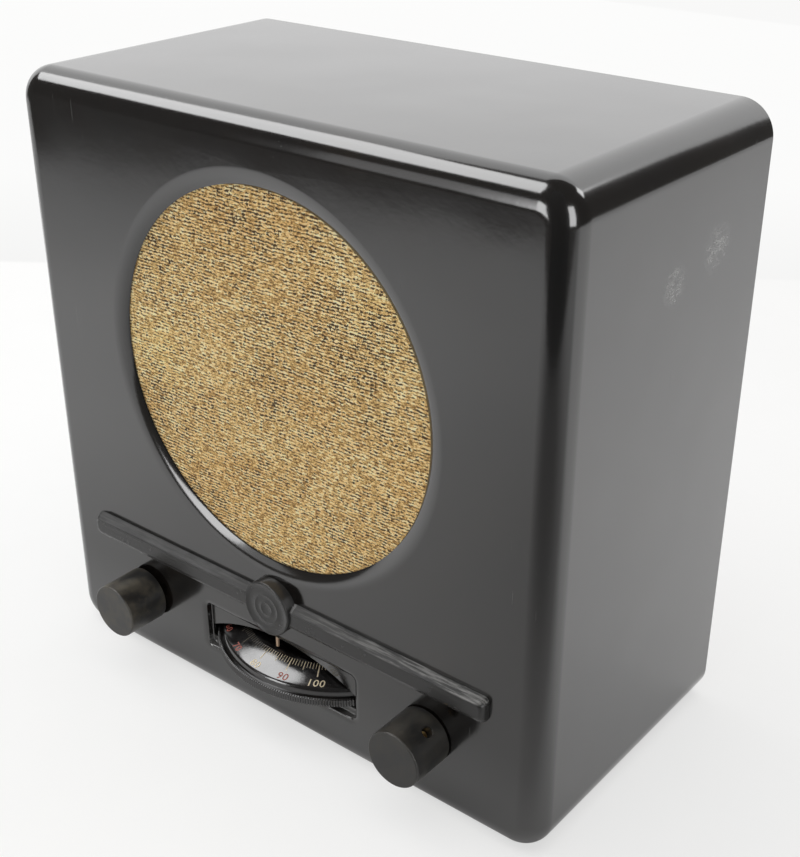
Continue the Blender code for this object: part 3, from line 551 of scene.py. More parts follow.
def knob_bakelite():
    """Dulled bakelite with a brown cast where fingers turned it."""
    look = Look("dull_bakelite", IOR=1.6)
    blotch = look.noise(120.0, 5.0, 0.65)
    x, _, _ = look.split(look.place)
    left = look.spread(x, -0.02, 0.02, 1.0, 0.0)
    wear = look.times(look.spread(blotch, 0.40, 0.66), look.spread(left, 0.0, 1.0, 0.35, 1.0))
    colour = look.mix(wear, (0.017, 0.0165, 0.016), (0.066, 0.057, 0.040))
    turned = look.streaks((90, 3200, 90), 2.0, 0.5)
    roughness = look.spread(blotch, 0.30, 0.75, 0.30, 0.52)
    fine = look.bump(turned, 0.10, 0.0001)
    return look.finish(colour, roughness, look.bump(look.noise(1400.0, 3.0, 0.6), 0.22, 0.00015, fine))


def dial_bakelite():
    look = Look("dial_bakelite_gloss", IOR=1.95)
    brown = look.noise(60.0, 4.0, 0.6)
    colour = look.ramp(brown, [(0.3, (0.003, 0.003, 0.0035)), (0.75, (0.008, 0.006, 0.005))])
    dust = look.spread(look.noise(2600.0, 1.0, 0.5), 0.74, 0.80)
    colour = look.mix(look.times(dust, 0.35), colour, (0.35, 0.34, 0.32))
    roughness = look.spread(look.noise(180.0, 4.0, 0.6), 0.3, 0.8, 0.10, 0.24)
    return look.finish(colour, roughness, look.bump(look.noise(900.0, 2.0, 0.5), 0.06, 0.0002))


def paint(name, colour, wear=0.3):
    """Thin paint in engraved figures, patchy where it has rubbed away."""
    look = Look(name, IOR=1.5)
    patch = look.spread(look.noise(1700.0, 4.0, 0.7), 0.38, 0.60)
    worn = look.maths("SUBTRACT", 1.0, look.times(patch, wear))
    dark = tuple(0.25 * value for value in colour)
    return look.finish(look.mix(worn, dark, colour), 0.55, look.bump(patch, 0.2, 0.0001))


def rubbed_paint():
    """The cream paint of the divisions, patchy, and darkened almost to black towards the left of the scale.
    """
    look = Look("cream_divisions", IOR=1.5)
    patch = look.spread(look.noise(1700.0, 4.0, 0.7), 0.38, 0.60, 0.0, 0.35)
    # Towards the left of the scale the paint is darkened almost to black.
    gone = look.maths("MAXIMUM", patch, look.times(near(look, (-19, 3, 36), 20, 0.55), 0.93))
    return look.finish(look.mix(gone, (0.78, 0.66, 0.45), (0.012, 0.011, 0.010)), 0.5)


def weave_cloth():
    """Coarse uneven weave: pale weft in rows, parted by short dark gaps where the thin warp pulls them in."""
    look = Look("woven_speaker_cloth", Sheen_Weight=0.04, Sheen_Roughness=0.5, IOR=1.35)
    x, _, z = look.split(look.place)
    sway = look.noise(170.0, 3.0, 0.6)
    row_place = look.maths("MULTIPLY_ADD", look.noise(18.0, 2.0, 0.5), 3.0, look.times(sway, 1.3))
    row_place = look.maths("MULTIPLY_ADD", z, 1000 / ROW_PITCH, row_place)
    row = look.maths("FLOOR", row_place, 0.0)
    row_chance = look.node("ShaderNodeTexWhiteNoise", noise_dimensions="1D")
    look.link(row, row_chance.inputs["W"])
    column_place = look.maths("MULTIPLY_ADD", row_chance.outputs["Value"], 9.0, look.times(sway, 1.6))
    column_place = look.maths("MULTIPLY_ADD", x, 1000 / STITCH_PITCH, column_place)
    column = look.maths("FLOOR", column_place, 0.0)
    stitch_chance = look.node("ShaderNodeTexWhiteNoise", noise_dimensions="2D")
    look.link(look.point(row, column, 0.0), stitch_chance.inputs["Vector"])
    chance = stitch_chance.outputs["Value"]
    off_centre = []
    for place, whole in ((row_place, row), (column_place, column)):
        share = look.maths("SUBTRACT", place, whole)
        off_centre.append(look.maths("ABSOLUTE", look.maths("MULTIPLY_ADD", share, 2.0, -1.0), 0.0))
    across_row, along_stitch = off_centre

    grain = look.streaks((700, 700, 1300), 2.0, 0.65)
    openness = look.spread(look.noise(30.0, 3.0, 0.6), 0.30, 0.70, -0.12, 0.12)
    parted = look.maths("MULTIPLY_ADD", grain, 1.7, look.maths("MULTIPLY_ADD", across_row, 0.55, openness))
    parted = look.maths("MULTIPLY_ADD", chance, 0.30, parted)
    parted = look.maths("SUBTRACT", parted, look.spread(along_stitch, 0.70, 1.0, 0.0, 0.30))
    gap = look.spread(parted, 1.31, 1.50, smooth=True)

    speckle = look.streaks((900, 900, 2300), 3.0, 0.75)
    fibre = look.streaks((2600, 2600, 7000), 2.0, 0.7)
    tone = look.maths("MULTIPLY_ADD", speckle, 0.78, look.times(fibre, 0.30))
    tone = look.maths("MULTIPLY_ADD", chance, 0.16, tone)
    # Painted shade: threads a little darker towards the edges of each row.
    tone = look.maths("SUBTRACT", tone, look.times(across_row, 0.05))
    thread = look.ramp(
        tone,
        [
            (0.43, (0.17, 0.080, 0.022)),
            (0.53, (0.60, 0.36, 0.118)),
            (0.61, (1.0, 0.72, 0.30)),
            (0.72, (1.0, 0.95, 0.62)),
        ],
    )
    stain = look.ramp(
        look.noise(13.0, 4.0, 0.6),
        [(0.3, (0.93, 0.84, 0.74)), (0.55, (1.0, 1.0, 1.0)), (0.75, (1.0, 0.98, 0.80))],
    )
    thread = look.mix(1.0, thread, stain, "MULTIPLY")
    colour = look.mix(gap, thread, (0.085, 0.044, 0.016))

    round_thread = look.times(look.maths("SUBTRACT", 1.0, gap), look.spread(tone, 0.4, 0.8, 0.6, 1.0))
    return look.finish(colour, 0.85, look.bump(round_thread, 0.6, 0.0006))


def pressed_board():
    look = Look("pressed_fibre_board", IOR=1.45)
    flecks = look.streaks((420, 420, 1500), 5.0, 0.7)
    cloud = look.noise(14.0, 4.0, 0.6)
    tone = look.plus(look.times(flecks, 0.6), look.times(cloud, 0.4))
    browns = [(0.3, (0.060, 0.034, 0.018)), (0.52, (0.15, 0.088, 0.045)), (0.72, (0.25, 0.16, 0.085))]
    colour = look.ramp(tone, browns)
    return look.finish(colour, look.spread(flecks, 0.3, 0.7, 0.62, 0.86), look.bump(flecks, 0.35, 0.0004))


def laminate():
    look = Look("bonded_paper", IOR=1.5)
    grain = look.streaks((90, 90, 700), 4.0, 0.6)
    colour = look.ramp(grain, [(0.3, (0.12, 0.055, 0.022)), (0.7, (0.27, 0.14, 0.06))])
    return look.finish(colour, look.spread(grain, 0.3, 0.7, 0.35, 0.55), look.bump(grain, 0.1, 0.0002))


def felted_paper():
    look = Look("felted_cone_paper", IOR=1.4)
    felt = look.noise(900.0, 5.0, 0.75)
    colour = look.ramp(felt, [(0.3, (0.030, 0.026, 0.022)), (0.75, (0.085, 0.074, 0.062))])
    return look.finish(colour, 0.92, look.bump(felt, 0.4, 0.0004))


def waxed_paper():
    look = Look("waxed_card", IOR=1.45, Subsurface_Weight=0.05)
    cloud = look.noise(70.0, 5.0, 0.6)
    colour = look.ramp(cloud, [(0.3, (0.33, 0.22, 0.10)), (0.7, (0.55, 0.41, 0.22))])
    return look.finish(colour, look.spread(cloud, 0.3, 0.7, 0.35, 0.62), look.bump(cloud, 0.25, 0.0006))


def painted_steel():
    look = Look("grey_painted_steel")
    cloud = look.noise(35.0, 5.0, 0.6)
    chips = look.spread(look.noise(420.0, 4.0, 0.7), 0.70, 0.74)
    colour = look.ramp(cloud, [(0.3, (0.06, 0.062, 0.064)), (0.7, (0.11, 0.11, 0.112))])
    colour = look.mix(chips, colour, (0.24, 0.17, 0.12))
    roughness = look.spread(cloud, 0.3, 0.7, 0.38, 0.6)
    bare = look.times(chips, 0.7)
    return look.finish(colour, roughness, look.bump(cloud, 0.12, 0.0004), bare)


def metal(name, colour, dull, roughness=(0.24, 0.46)):
    look = Look(name, Metallic=1.0)
    streaks = look.streaks((60, 900, 900), 4.0, 0.65)
    cloud = look.noise(110.0, 5.0, 0.65)
    tarnish = look.spread(cloud, 0.38, 0.70)
    return look.finish(
        look.mix(tarnish, colour, dull),
        look.spread(streaks, 0.3, 0.7, *roughness),
        look.bump(streaks, 0.10, 0.0002),
    )


def enamelled_iron():
    look = Look("red_enamelled_iron")
    cloud = look.noise(90.0, 5.0, 0.7)
    rust = look.spread(look.noise(260.0, 5.0, 0.7), 0.60, 0.70)
    colour = look.ramp(cloud, [(0.3, (0.13, 0.030, 0.022)), (0.7, (0.21, 0.055, 0.038))])
    colour = look.mix(rust, colour, (0.10, 0.045, 0.02))
    return look.finish(colour, look.spread(rust, 0.0, 1.0, 0.42, 0.85), look.bump(cloud, 0.3, 0.0005))


def wound_wire(name, colour, dark, metallic, pitch=0.45):
    """Turns of wire side by side round a coil, with painted shade in the grooves between turns."""
    look = Look(name, Metallic=metallic)
    x = look.split(look.place)[0]
    turns = look.maths("SINE", look.times(x, math.tau * 1000 / pitch), 0.0)
    # Painted shade: each turn darkens towards the grooves between turns.
    ridge = look.spread(turns, -1.0, 1.0)
    roughness = look.spread(look.noise(500.0), 0.3, 0.7, 0.3, 0.55)
    return look.finish(look.mix(ridge, dark, colour), roughness, look.bump(ridge, 0.6, 0.0002))


def ceramic():
    look = Look("raw_ceramic", IOR=1.5)
    grain = look.noise(600.0, 4.0, 0.7)
    colour = look.ramp(grain, [(0.3, (0.50, 0.44, 0.35)), (0.7, (0.70, 0.64, 0.55))])
    return look.finish(colour, 0.6, look.bump(grain, 0.2, 0.0003))


def silvered_glass():
    look = Look("silvered_glass", IOR=1.5, Metallic=0.75)
    cloud = look.noise(60.0, 5.0, 0.65)
    colour = look.ramp(cloud, [(0.3, (0.22, 0.22, 0.22)), (0.7, (0.48, 0.47, 0.46))])
    return look.finish(colour, look.spread(cloud, 0.3, 0.7, 0.10, 0.30))


def rubber():
    look = Look("aged_rubber", IOR=1.45)
    bloom = look.noise(400.0, 5.0, 0.7)
    colour = look.ramp(bloom, [(0.35, (0.016, 0.016, 0.016)), (0.75, (0.05, 0.048, 0.045))])
    return look.finish(colour, look.spread(bloom, 0.3, 0.7, 0.6, 0.85), look.bump(bloom, 0.2, 0.0003))


def lacquer():
    look = Look("resistor_lacquer_coat", IOR=1.5)
    cloud = look.noise(500.0, 4.0, 0.6)
    colour = look.ramp(cloud, [(0.3, (0.22, 0.05, 0.022)), (0.7, (0.36, 0.09, 0.04))])
    return look.finish(colour, look.spread(cloud, 0.3, 0.7, 0.3, 0.5), look.bump(cloud, 0.15, 0.0003))


# ---- shapes ----


def soften(obj, angle):
    obj.data.shade_smooth()
    obj.data.set_sharp_from_angle(angle=math.radians(angle))


def from_bmesh(name, bm, look=None):
    mesh = bpy.data.meshes.new(name)
    bmesh.ops.recalc_face_normals(bm, faces=bm.faces)
    bm.to_mesh(mesh)
    bm.free()
    obj = add(name, mesh)
    if look:
        mesh.materials.append(look)
    return obj


def loft_into(bm, rings):
    rows = [[bm.verts.new(point) for point in ring] for ring in rings]
    count = len(rows[0])
    for low, high in zip(rows, rows[1:]):
        for i in range(count):
            j = (i + 1) % count
            bm.faces.new((low[i], low[j], high[j], high[i]))
    bm.faces.new(rows[0])
    bm.faces.new(list(reversed(rows[-1])))


def loft(name, rings, look=None):
    bm = bmesh.new()
    loft_into(bm, rings)
    return from_bmesh(name, bm, look)


def turned_into(bm, profile, spot, facing, steps):
    """A turned solid from (radius, height) pairs that start and end on the axis."""
    turns = {
        "back": Matrix.Rotation(-math.pi / 2, 4, "X"),
        "up": Matrix.Identity(4),
    }
    place = Matrix.Translation(at(*spot)) @ turns[facing]
    rows = []
    for radius, height in profile:
        if radius < 1e-6:
            rows.append([bm.verts.new(place @ Vector((0, 0, height * MM)))])
            continue
        ring = []
        for i in range(steps):
            turn = math.tau * i / steps
            spoke = Vector((radius * MM * math.cos(turn), radius * MM * math.sin(turn), height * MM))
            ring.append(bm.verts.new(place @ spoke))
        rows.append(ring)
    for low, high in zip(rows, rows[1:]):
        for i in range(steps):
            j = (i + 1) % steps
            if len(low) == 1:
                bm.faces.new((low[0], high[j], high[i]))
            elif len(high) == 1:
                bm.faces.new((low[i], low[j], high[0]))
            else:
                bm.faces.new((low[i], low[j], high[j], high[i]))


def turned(name, profile, spot, look=None, facing="back", steps=96):
    bm = bmesh.new()
    turned_into(bm, profile, spot, facing, steps)
    return from_bmesh(name, bm, look)


def pegs(name, radius, length, spots, facing="back", steps=48):
    bm = bmesh.new()
    for spot in spots:
        turned_into(bm, [(0, 0), (radius, 0), (radius, length), (0, length)], spot, facing, steps)
    return from_bmesh(name, bm)


def blocks(name, spans):
    bm = bmesh.new()
    for x, depth, z in spans:
        size = Vector((x[1] - x[0], depth[1] - depth[0], z[1] - z[0])) * MM
        centre = at(sum(x) / 2, sum(depth) / 2, sum(z) / 2)
        bmesh.ops.create_cube(bm, size=1.0, matrix=Matrix.Translation(centre) @ Matrix.Diagonal((*size, 1.0)))
    return from_bmesh(name, bm)


def apply_tools(obj, operation, tools):
    """Cuts the tools from the piece, or joins them to it, and removes them."""
    for tool in tools:
        made = obj.modifiers.new(tool.name, "BOOLEAN")
        made.operation = operation
        made.object = tool
    graph = bpy.context.evaluated_depsgraph_get()
    mesh = bpy.data.meshes.new_from_object(obj.evaluated_get(graph))
    obj.modifiers.clear()
    bm = bmesh.new()
    bm.from_mesh(mesh)
    bmesh.ops.triangulate(bm, faces=[face for face in bm.faces if len(face.verts) > 4])
    bm.to_mesh(mesh)
    bm.free()
    obj.data = mesh
    for tool in tools:
        bpy.data.objects.remove(tool, do_unlink=True)


def weigh_normals(obj):
    made = obj.modifiers.new("weigh normals", "WEIGHTED_NORMAL")
    made.keep_sharp = True
    made.weight = 80


def rounded_ring(half_width, low, high, radius, depth, steps=16):
    centres = (
        (half_width - radius, high - radius, 0),
        (radius - half_width, high - radius, 1),
        (radius - half_width, low + radius, 2),
        (half_width - radius, low + radius, 3),
    )
    ring = []
    for x, z, quarter in centres:
        for i in range(steps + 1):
            turn = (quarter + i / steps) * math.pi / 2
            ring.append(at(x + radius * math.cos(turn), depth, z + radius * math.sin(turn)))
    return ring


def quarter_turns(steps):
    return [math.pi / 2 * i / steps for i in range(steps + 1)]


# ---- case ----


def inset_ring(inset, depth):
    return rounded_ring(WIDTH / 2 - inset, inset, HEIGHT - inset, CORNER_RADIUS - inset, depth)


def case_shell(look):
    rings = []
    for turn in quarter_turns(20):
        rings.append(inset_ring(FRONT_FILLET * (1 - math.sin(turn)), FRONT_FILLET * (1 - math.cos(turn))))
    rings.append(inset_ring(0, DEPTH - REAR_BREAK))
    rings.append(inset_ring(REAR_BREAK * 0.3, DEPTH - REAR_BREAK * 0.3))
    rings.append(inset_ring(REAR_BREAK, DEPTH))
    return loft("case_moulding", rings, look)


def case_cavity():
    rings = []
    for turn in quarter_turns(6):
        inset = WALL + INNER_FILLET * (1 - math.sin(turn))
        rings.append(inset_ring(inset, WALL + INNER_FILLET * (1 - math.cos(turn))))
    rings.append(inset_ring(WALL, COVER_REBATE_DEPTH))
    rings.append(inset_ring(COVER_REBATE_INSET, COVER_REBATE_DEPTH))
    rings.append(inset_ring(COVER_REBATE_INSET, DEPTH + 1))
    return loft("cavity", rings)


def opening_tool():
    profile = [(0, -1), (OPENING_RADIUS + FLARE_WIDTH, -1), (OPENING_RADIUS + FLARE_WIDTH, -JUST_PROUD)]
    profile += [(OPENING_RADIUS + spread, depth) for spread, depth in FLARE]
    profile += [(OPENING_RADIUS, CLOTH_SEAT_DEPTH), (CLOTH_SEAT_RADIUS, CLOTH_SEAT_DEPTH)]
    profile += [(CLOTH_SEAT_RADIUS, WALL + 0.5), (0, WALL + 0.5)]
    return turned("opening", profile, (0, 0, SPEAKER_Z), steps=192)


def pocket_ring(spread, depth):
    low, high = POCKET_LOW - spread, POCKET_HIGH + spread
    return rounded_ring(POCKET_HALF_WIDTH + spread, low, high, POCKET_CORNER + spread, depth, 8)


def pocket_tool():
    rings = [pocket_ring(POCKET_FLARE, -1), pocket_ring(POCKET_FLARE, -JUST_PROUD)]
    for turn in quarter_turns(10)[1:]:
        spread = POCKET_FLARE * (1 - math.sin(turn))
        rings.append(pocket_ring(spread, POCKET_FLARE_DEPTH * (1 - math.cos(turn))))
    for turn in quarter_turns(4)[1:]:
        spread = -POCKET_STEP - POCKET_FILLET * (1 - math.cos(turn))
        rings.append(pocket_ring(spread, POCKET_DEPTH - POCKET_FILLET + POCKET_FILLET * math.sin(turn)))
    return loft("pocket", rings)


def arch_tool():
    centre = ARCH_TOP - ARCH_RADIUS
    outline = [(-ARCH_HALF_WIDTH, ARCH_LOW), (ARCH_HALF_WIDTH, ARCH_LOW)]
    for i in range(33):
        x = ARCH_HALF_WIDTH * (1 - i / 16)
        outline.append((x, centre + math.sqrt(ARCH_RADIUS**2 - x**2)))
    return loft("arch", [[at(x, depth, z) for x, z in outline] for depth in (1.5, POCKET_BACK + 2)])


def four_corners(x, low, high):
    return [(side * x, z) for side in (-1, 1) for z in (low, high)]


def board_screw_spots():
    return four_corners(BOARD_SCREW_X, SPEAKER_Z - BOARD_SCREW_RISE, SPEAKER_Z + BOARD_SCREW_RISE)


def cover_screw_spots():
    return four_corners(COVER_SCREW_X, *COVER_SCREW_ENDS)


def drilled(obj, name, radius, length, spots, facing="back"):
    apply_tools(obj, "DIFFERENCE", [pegs(name, radius, length, spots, facing, 16)])
    return obj


def screw_bosses(name, boss, pilot, spots):
    """Bosses with pilot holes. boss and pilot each hold a radius, a length and the depth where it starts."""
    made = pegs(f"{name}_bosses", boss[0], boss[1], [(x, boss[2], z) for x, z in spots])
    return drilled(made, f"{name}_pilots", pilot[0], pilot[1], [(x, pilot[2], z) for x, z in spots])


def build_case(look):
    case = case_shell(look)
    apply_tools(case, "DIFFERENCE", [case_cavity(), opening_tool()])
    board_bosses = screw_bosses("board", BOARD_BOSS, BOARD_PILOT, board_screw_spots())
    backing = blocks("backing", [((-44, 44), (WALL - 0.5, POCKET_BACK), (15, 47))])
    apply_tools(case, "UNION", [backing, board_bosses])
    shafts = pegs("shafts", SHAFT_HOLE, 8, [(x, -2, KNOB_Z) for x in (-KNOB_X, KNOB_X)])
    slot = blocks("slot", [((INDEX_X - 0.75, INDEX_X + 0.75), (0.4, 1.7), (40, 45))])
    apply_tools(case, "DIFFERENCE", [pocket_tool(), arch_tool(), shafts, slot])
    rails = blocks("rails", [(x, (20, 110), (40, 47.6)) for x in ((-117.5, -104), (104, 117.5))])
    drilled(rails, "rail_pilots", 1.7, 8, [(side * 108, 65, 40.8) for side in (-1, 1)], "up")
    cover_bosses = screw_bosses("cover", COVER_BOSS, COVER_PILOT, cover_screw_spots())
    apply_tools(case, "UNION", [rails, cover_bosses])
    soften(case, 35)
    weigh_normals(case)
    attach(case, "cabinet")
    return case


def bar_rings():
    rings = []
    for depth in (0.6, 0.0):
        rings.append(rounded_ring(BAR_HALF_LENGTH, BAR_LOW, BAR_HIGH, 2.0, depth, 6))
    for turn in quarter_turns(14)[1:]:
        rise = math.sin(turn)
        fall = 1 - math.cos(turn)
        low = BAR_LOW + 3.3 * fall
        high = BAR_HIGH - 1.5 * rise - 0.5 * fall
        rings.append(rounded_ring(BAR_HALF_LENGTH - 2.0 * fall, low, high, 2.0, -BAR_PROUD * rise, 6))
    return rings


def build_bar(look):
    """The raised bar, and the boss with plain concentric rings."""
    bar = loft("front_bar", bar_rings(), look)
    soften(bar, 50)
    weigh_normals(bar)
    proud = -BOSS_PROUD
    profile = [(0, 0.6), (BOSS_RADIUS, 0.6), (BOSS_RADIUS, proud + 0.5), (BOSS_RADIUS - 0.15, proud + 0.15)]
    profile += [(BOSS_RADIUS - 0.5, proud), (BOSS_RADIUS - 0.9, proud + 0.05)]
    profile += [(BOSS_RADIUS - 1.25, proud + 0.35)]
    for radius in (5.6, 2.6):
        profile += [(radius + 0.5, proud + 0.37), (radius + 0.25, proud + 0.22), (radius, proud + 0.22)]
        profile += [(radius - 0.25, proud + 0.37)]
    profile.append((0, proud + 0.37))
    boss = turned("front_boss", list(reversed(profile)), (0, 0, BOSS_Z), look, steps=96)
    soften(boss, 50)
    for piece in (bar, boss):
        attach(piece, "cabinet")


# ---- cloth ----


def build_cloth(look):
    """A stretched disc that bellies a little and puckers where threads have slackened."""
    bm = bmesh.new()
    rows = []
    rings, steps, radius = 60, 180, CLOTH_RADIUS
    chooser = random.Random(7)
    humps = []
    for _ in range(HUMPS):
        spot = (chooser.uniform(-60, 60), chooser.uniform(-60, 60))
        humps.append((*spot, chooser.uniform(8, 22), chooser.uniform(-0.12, 0.12)))
    for face in (CLOTH_FRONT, CLOTH_BACK):
        grid = []
        for i in range(rings + 1):
            ring = []
            reach = radius * i / rings
            for j in range(steps if i else 1):
                turn = math.tau * j / steps
                x, z = reach * math.cos(turn), reach * math.sin(turn)
                belly = 0.16 * (1 - (reach / radius) ** 2)
                for hx, hz, size, rise in humps:
                    away = (x - hx) ** 2 + (z - hz) ** 2
                    belly += rise * math.exp(-away / size**2) * (1 - (reach / radius) ** 4)
                ring.append(bm.verts.new(at(x, face - belly * 0.6, SPEAKER_Z + z)))
            grid.append(ring)
        rows.append(grid)
    for grid in rows:
        for inner, outer in zip(grid, grid[1:]):
            for j in range(steps):
                k = (j + 1) % steps
                if len(inner) == 1:
                    bm.faces.new((inner[0], outer[j], outer[k]))
                else:
                    bm.faces.new((inner[j], outer[j], outer[k], inner[k]))
    front, back = rows[0][-1], rows[1][-1]
    for j in range(steps):
        k = (j + 1) % steps
        bm.faces.new((front[j], back[j], back[k], front[k]))
    cloth = from_bmesh("woven_cloth_disc", bm, look)
    soften(cloth, 60)
    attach(cloth, "cabinet")
    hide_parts("speaker_cloth")


# ---- dial wheel ----


def dome_height(radius):
    for (r0, z0), (r1, z1) in zip(DOME, DOME[1:]):
        if r0 <= radius <= r1:
            return z0 + (z1 - z0) * (radius - r0) / (r1 - r0)
    return DOME[-1][1]


def on_dial(radius, degrees, lift):
    """A point on the dome of the wheel; degrees run from the front towards +X."""
    turn = math.radians(degrees)
    return at(radius * math.sin(turn), DIAL_DEPTH - radius * math.cos(turn), dome_height(radius) + lift)


def build_wheel(look):
    bm = bmesh.new()
    steps = KNURLS * 3
    sections = [((3.3, 41.0), 0), ((6.6, 41.0), 0), ((7.0, 40.6), 0), ((7.0, 30.4), 0)]
    sections += [((7.4, 30.0), 0), ((25.6, 30.0), 0)]
    sections += [(point, 0) for point in DOME]
    sections += [((47.4, 28.1), 0), ((48.6, 28.0), 0.3), ((RIM, 27.6), 1), ((RIM, 24.9), 1)]
    sections += [((48.7, 24.5), 0.3), ((47.0, 24.5), 0), ((3.3, 24.5), 0)]
    rows = []
    for (radius, height), depth_share in sections:
        ring = []
        for i in range(steps):
            turn = math.tau * i / steps
            ridge = (0.12, -0.16, -0.16)[i % 3] * depth_share
            reach = (radius + ridge) * MM
            spoke = Vector((reach * math.sin(turn), -reach * math.cos(turn), 0))
            ring.append(bm.verts.new(at(0, DIAL_DEPTH, height) + spoke))
        rows.append(ring)
    for low, high in zip(rows, rows[1:] + rows[:1]):
        for i in range(steps):
            j = (i + 1) % steps
            bm.faces.new((low[i], low[j], high[j], high[i]))
    wheel = from_bmesh("dial_wheel_moulding", bm, look)
    soften(wheel, 32)
    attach(wheel, "dial")
    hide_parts("dial_wheel")


def down_dome(way):
    """The radius a distance along the dome inwards from the middle of the figures, in millimetres."""
    radius = FIGURE_RADIUS
    step = 0.05 if way < 0 else -0.05
    gone = 0.0
    while gone < abs(way):
        rise = dome_height(radius + step) - dome_height(radius)
        gone += math.hypot(step, rise)
        radius += step
    return min(radius, DOME[-1][0])


def dial_text(text, degrees, look):
    """Figures laid on the dome of the wheel, reading from outside."""
    curve = bpy.data.curves.new(f"figures_{text}", "FONT")
    curve.body = text
    curve.size = FIGURE_SIZE
    curve.align_x = "CENTER"
    curve.align_y = "CENTER"
    curve.resolution_u = 3
    curve.offset = 0.03
    curve.space_character = 1.08
    source = add(f"figures_source_{text}", curve)
    graph = bpy.context.evaluated_depsgraph_get()
    mesh = bpy.data.meshes.new_from_object(source.evaluated_get(graph))
    bpy.data.objects.remove(source, do_unlink=True)
    bm = bmesh.new()
    bm.from_mesh(mesh)
    bmesh.ops.triangulate(bm, faces=bm.faces)
    for _ in range(3):
        long_edges = [edge for edge in bm.edges if edge.calc_length() > 0.45]
        bmesh.ops.subdivide_edges(bm, edges=long_edges, cuts=1)
        bmesh.ops.triangulate(bm, faces=[face for face in bm.faces if len(face.verts) > 3])
    for vert in bm.verts:
        x, y = FIGURE_WIDTH * vert.co.x + FIGURE_SLANT * vert.co.y, vert.co.y
        vert.co = on_dial(down_dome(y), degrees + math.degrees(x / FIGURE_RADIUS), 0.045)
    obj = from_bmesh(f"dial_figures_{text}", bm, look)
    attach(obj, "dial")


def dial_ticks(look):
    bm = bmesh.new()
    for reading in range(0, 103):
        degrees = DIAL_START + (reading - READING_THERE) * DEGREES_PER_DIVISION
        outer, half = next(size for every, size in TICKS if reading % every == 0)
        radii = [TICK_INNER + (outer - TICK_INNER) * i / 5 for i in range(6)]
        spread = math.degrees(half / 40.0)
        left = [bm.verts.new(on_dial(radius, degrees - spread, 0.03)) for radius in radii]
        right = [bm.verts.new(on_dial(radius, degrees + spread, 0.03)) for radius in radii]
        for i in range(5):
            bm.faces.new((left[i], right[i], right[i + 1], left[i + 1]))
    ticks = from_bmesh("dial_ticks", bm, look)
    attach(ticks, "dial")


def build_scale(cream, red, rubbed):
    for reading in range(0, 101, 10):
        look = red if reading in RED_FIGURES else cream
        dial_text(str(reading), DIAL_START + (reading - READING_THERE) * DEGREES_PER_DIVISION, look)
    dial_ticks(rubbed)


# ---- knobs and screws ----


def build_knob(name, node, body, x, face, hole_depth, hole_turn, look):
    back = face + KNOB_LENGTH
    profile = [(0, face + 4), (3.3, face + 4), (3.3, back - 0.2), (3.5, back), (5.2, back), (5.4, back - 0.2)]
    profile += [(5.4, back - 3), (9.6, back - 3), (9.6, back - 0.2), (9.8, back)]
    profile += [(KNOB_RADIUS, back), (KNOB_RADIUS + 0.1, back - 0.15)]
    for turn in quarter_turns(8):
        reach = KNOB_RADIUS - KNOB_EDGE + KNOB_EDGE * math.cos(turn)
        profile.append((reach, face + KNOB_EDGE - KNOB_EDGE * math.sin(turn)))
    profile += [(KNOB_RADIUS * 0.7, face), (KNOB_RADIUS * 0.35, face + 0.05), (0, face + 0.06)]
    knob = turned(name, profile, (x, 0, KNOB_Z), look, steps=128)
    bore = [(0, 2.6), (2.0, 2.6), (2.0, 10.6), (2.35, 11.2), (2.35, 12), (0, 12)]
    hole = turned("hole", bore, (0, HALF_DEPTH, 0), facing="up", steps=32)
    sideways = Matrix.Rotation(math.pi / 2 - hole_turn, 4, "Y")
    hole.data.transform(Matrix.Translation(at(x, hole_depth, KNOB_Z)) @ sideways)
    apply_tools(knob, "DIFFERENCE", [hole])
    soften(knob, 35)
    weigh_normals(knob)
    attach(knob, body)
    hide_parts(node)


def slotted_screw(node, spot, head, look):
    """A domed, slotted screw. head holds its radius, its rise above the seat, the seat and the tip."""
    radius, rise, seat, tip = head
    profile = [(0, seat + rise)]
    for turn in quarter_turns(8)[1:]:
        profile.append((radius * math.sin(turn), seat + 0.35 * rise + 0.65 * rise * math.cos(turn)))
    profile += [(radius, seat + 0.12), (radius - 0.12, seat)]
    profile += [(1.25, seat), (1.25, tip + 0.8), (0.5, tip), (0, tip)]
    screw = turned(f"{node}_turned", profile, (0, HALF_DEPTH, 0), look, "up", 48)
    slot = bmesh.new()
    size = Matrix.Diagonal((2.2 * radius * MM, 0.9 * MM, rise * MM, 1.0))
    bmesh.ops.create_cube(slot, size=1.0, matrix=Matrix.Translation((0, 0, (seat + rise) * MM)) @ size)
    apply_tools(screw, "DIFFERENCE", [from_bmesh("slot", slot)])
    chooser = random.Random(node)
    to_back = Matrix.Rotation(-math.pi / 2, 4, "X")
    spin = Matrix.Rotation(chooser.uniform(0, math.pi), 4, "Z")
    screw.data.transform(Matrix.Translation(at(*spot)) @ to_back @ spin)
    soften(screw, 35)
    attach(screw, "cabinet")
    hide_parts(node)


def build_screws(plated):
    for i, (x, z) in enumerate(cover_screw_spots(), 1):
        slotted_screw(f"cover_screw_{i}", (x, 0, z), (3.6, 1.15, 120.1, 105.0), plated)
    for i, (x, z) in enumerate(board_screw_spots(), 1):
        slotted_screw(f"baffle_screw_{i}", (x, 0, z), (6.3, 1.6, 7.9, 5.0), plated)


# ---- all ----


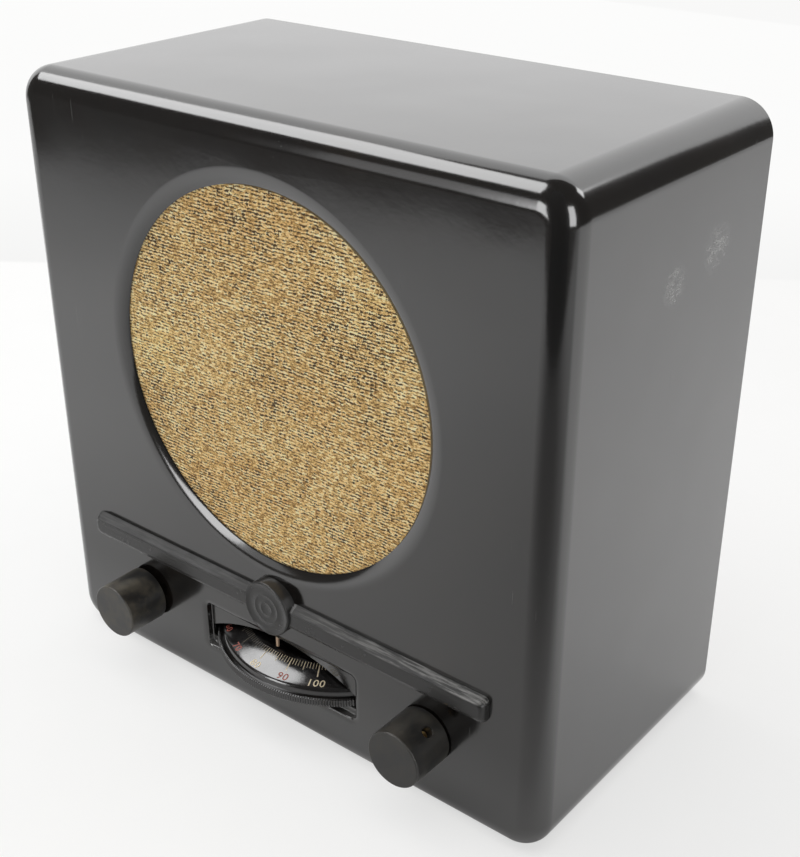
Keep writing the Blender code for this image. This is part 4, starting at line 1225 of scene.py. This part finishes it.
def repaint():
    """Gives each CAD node that still shows the material for its slot."""
    looks = {
        "black_bakelite": polished_bakelite("valve_base_bakelite"),
        "cream_paint": paint("index_paint", (0.74, 0.52, 0.35), 0.25),
        "fibre_board": pressed_board(),
        "hard_paper": laminate(),
        "cone_paper": felted_paper(),
        "waxed_paper": waxed_paper(),
        "painted_steel": painted_steel(),
        "plated_steel": metal("plated_steel_sheen", (0.60, 0.58, 0.55), (0.36, 0.33, 0.29)),
        "magnet_iron": enamelled_iron(),
        "brass": metal("turned_brass", (0.72, 0.50, 0.20), (0.34, 0.22, 0.10), (0.20, 0.42)),
        "aluminium": metal("rolled_aluminium", (0.78, 0.79, 0.80), (0.52, 0.52, 0.52), (0.28, 0.50)),
        "copper_wire": wound_wire("copper_turns", (0.62, 0.24, 0.09), (0.16, 0.05, 0.02), 0.8),
        "green_silk_wire": wound_wire("green_silk_turns", (0.09, 0.24, 0.11), (0.02, 0.06, 0.03), 0.0),
        "ceramic": ceramic(),
        "resistance_wire": wound_wire("resistance_turns", (0.32, 0.29, 0.26), (0.06, 0.055, 0.05), 0.8, 0.8),
        "valve_glass": silvered_glass(),
        "black_rubber": rubber(),
        "resistor_lacquer": lacquer(),
    }
    for part in frame["record"]["subparts"]:
        look = looks.get(part["material_slot"])
        node = frame["nodes"].get(part["node"])
        if look is None or node is None:
            continue
        for slot in node.material_slots:
            slot.material = look
    return looks


def main():
    make_camera()
    make_stage()
    looks = repaint()
    # The bar's look: wear streaks, a painted highlight towards the right and painted shade on the top face.
    worn = bar_bakelite()
    case = build_case(polished_bakelite("case_bakelite"))
    build_bar(worn)
    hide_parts("case")
    build_cloth(weave_cloth())
    build_wheel(dial_bakelite())
    cream = paint("cream_figures", (0.80, 0.68, 0.46))
    red = paint("red_figures", (0.36, 0.085, 0.06))
    build_scale(cream, red, rubbed_paint())
    knob_look = knob_bakelite()
    for *knob, hole_turn in KNOBS:
        build_knob(*knob, math.radians(hole_turn), knob_look)
    build_screws(looks["plated_steel"])


main()
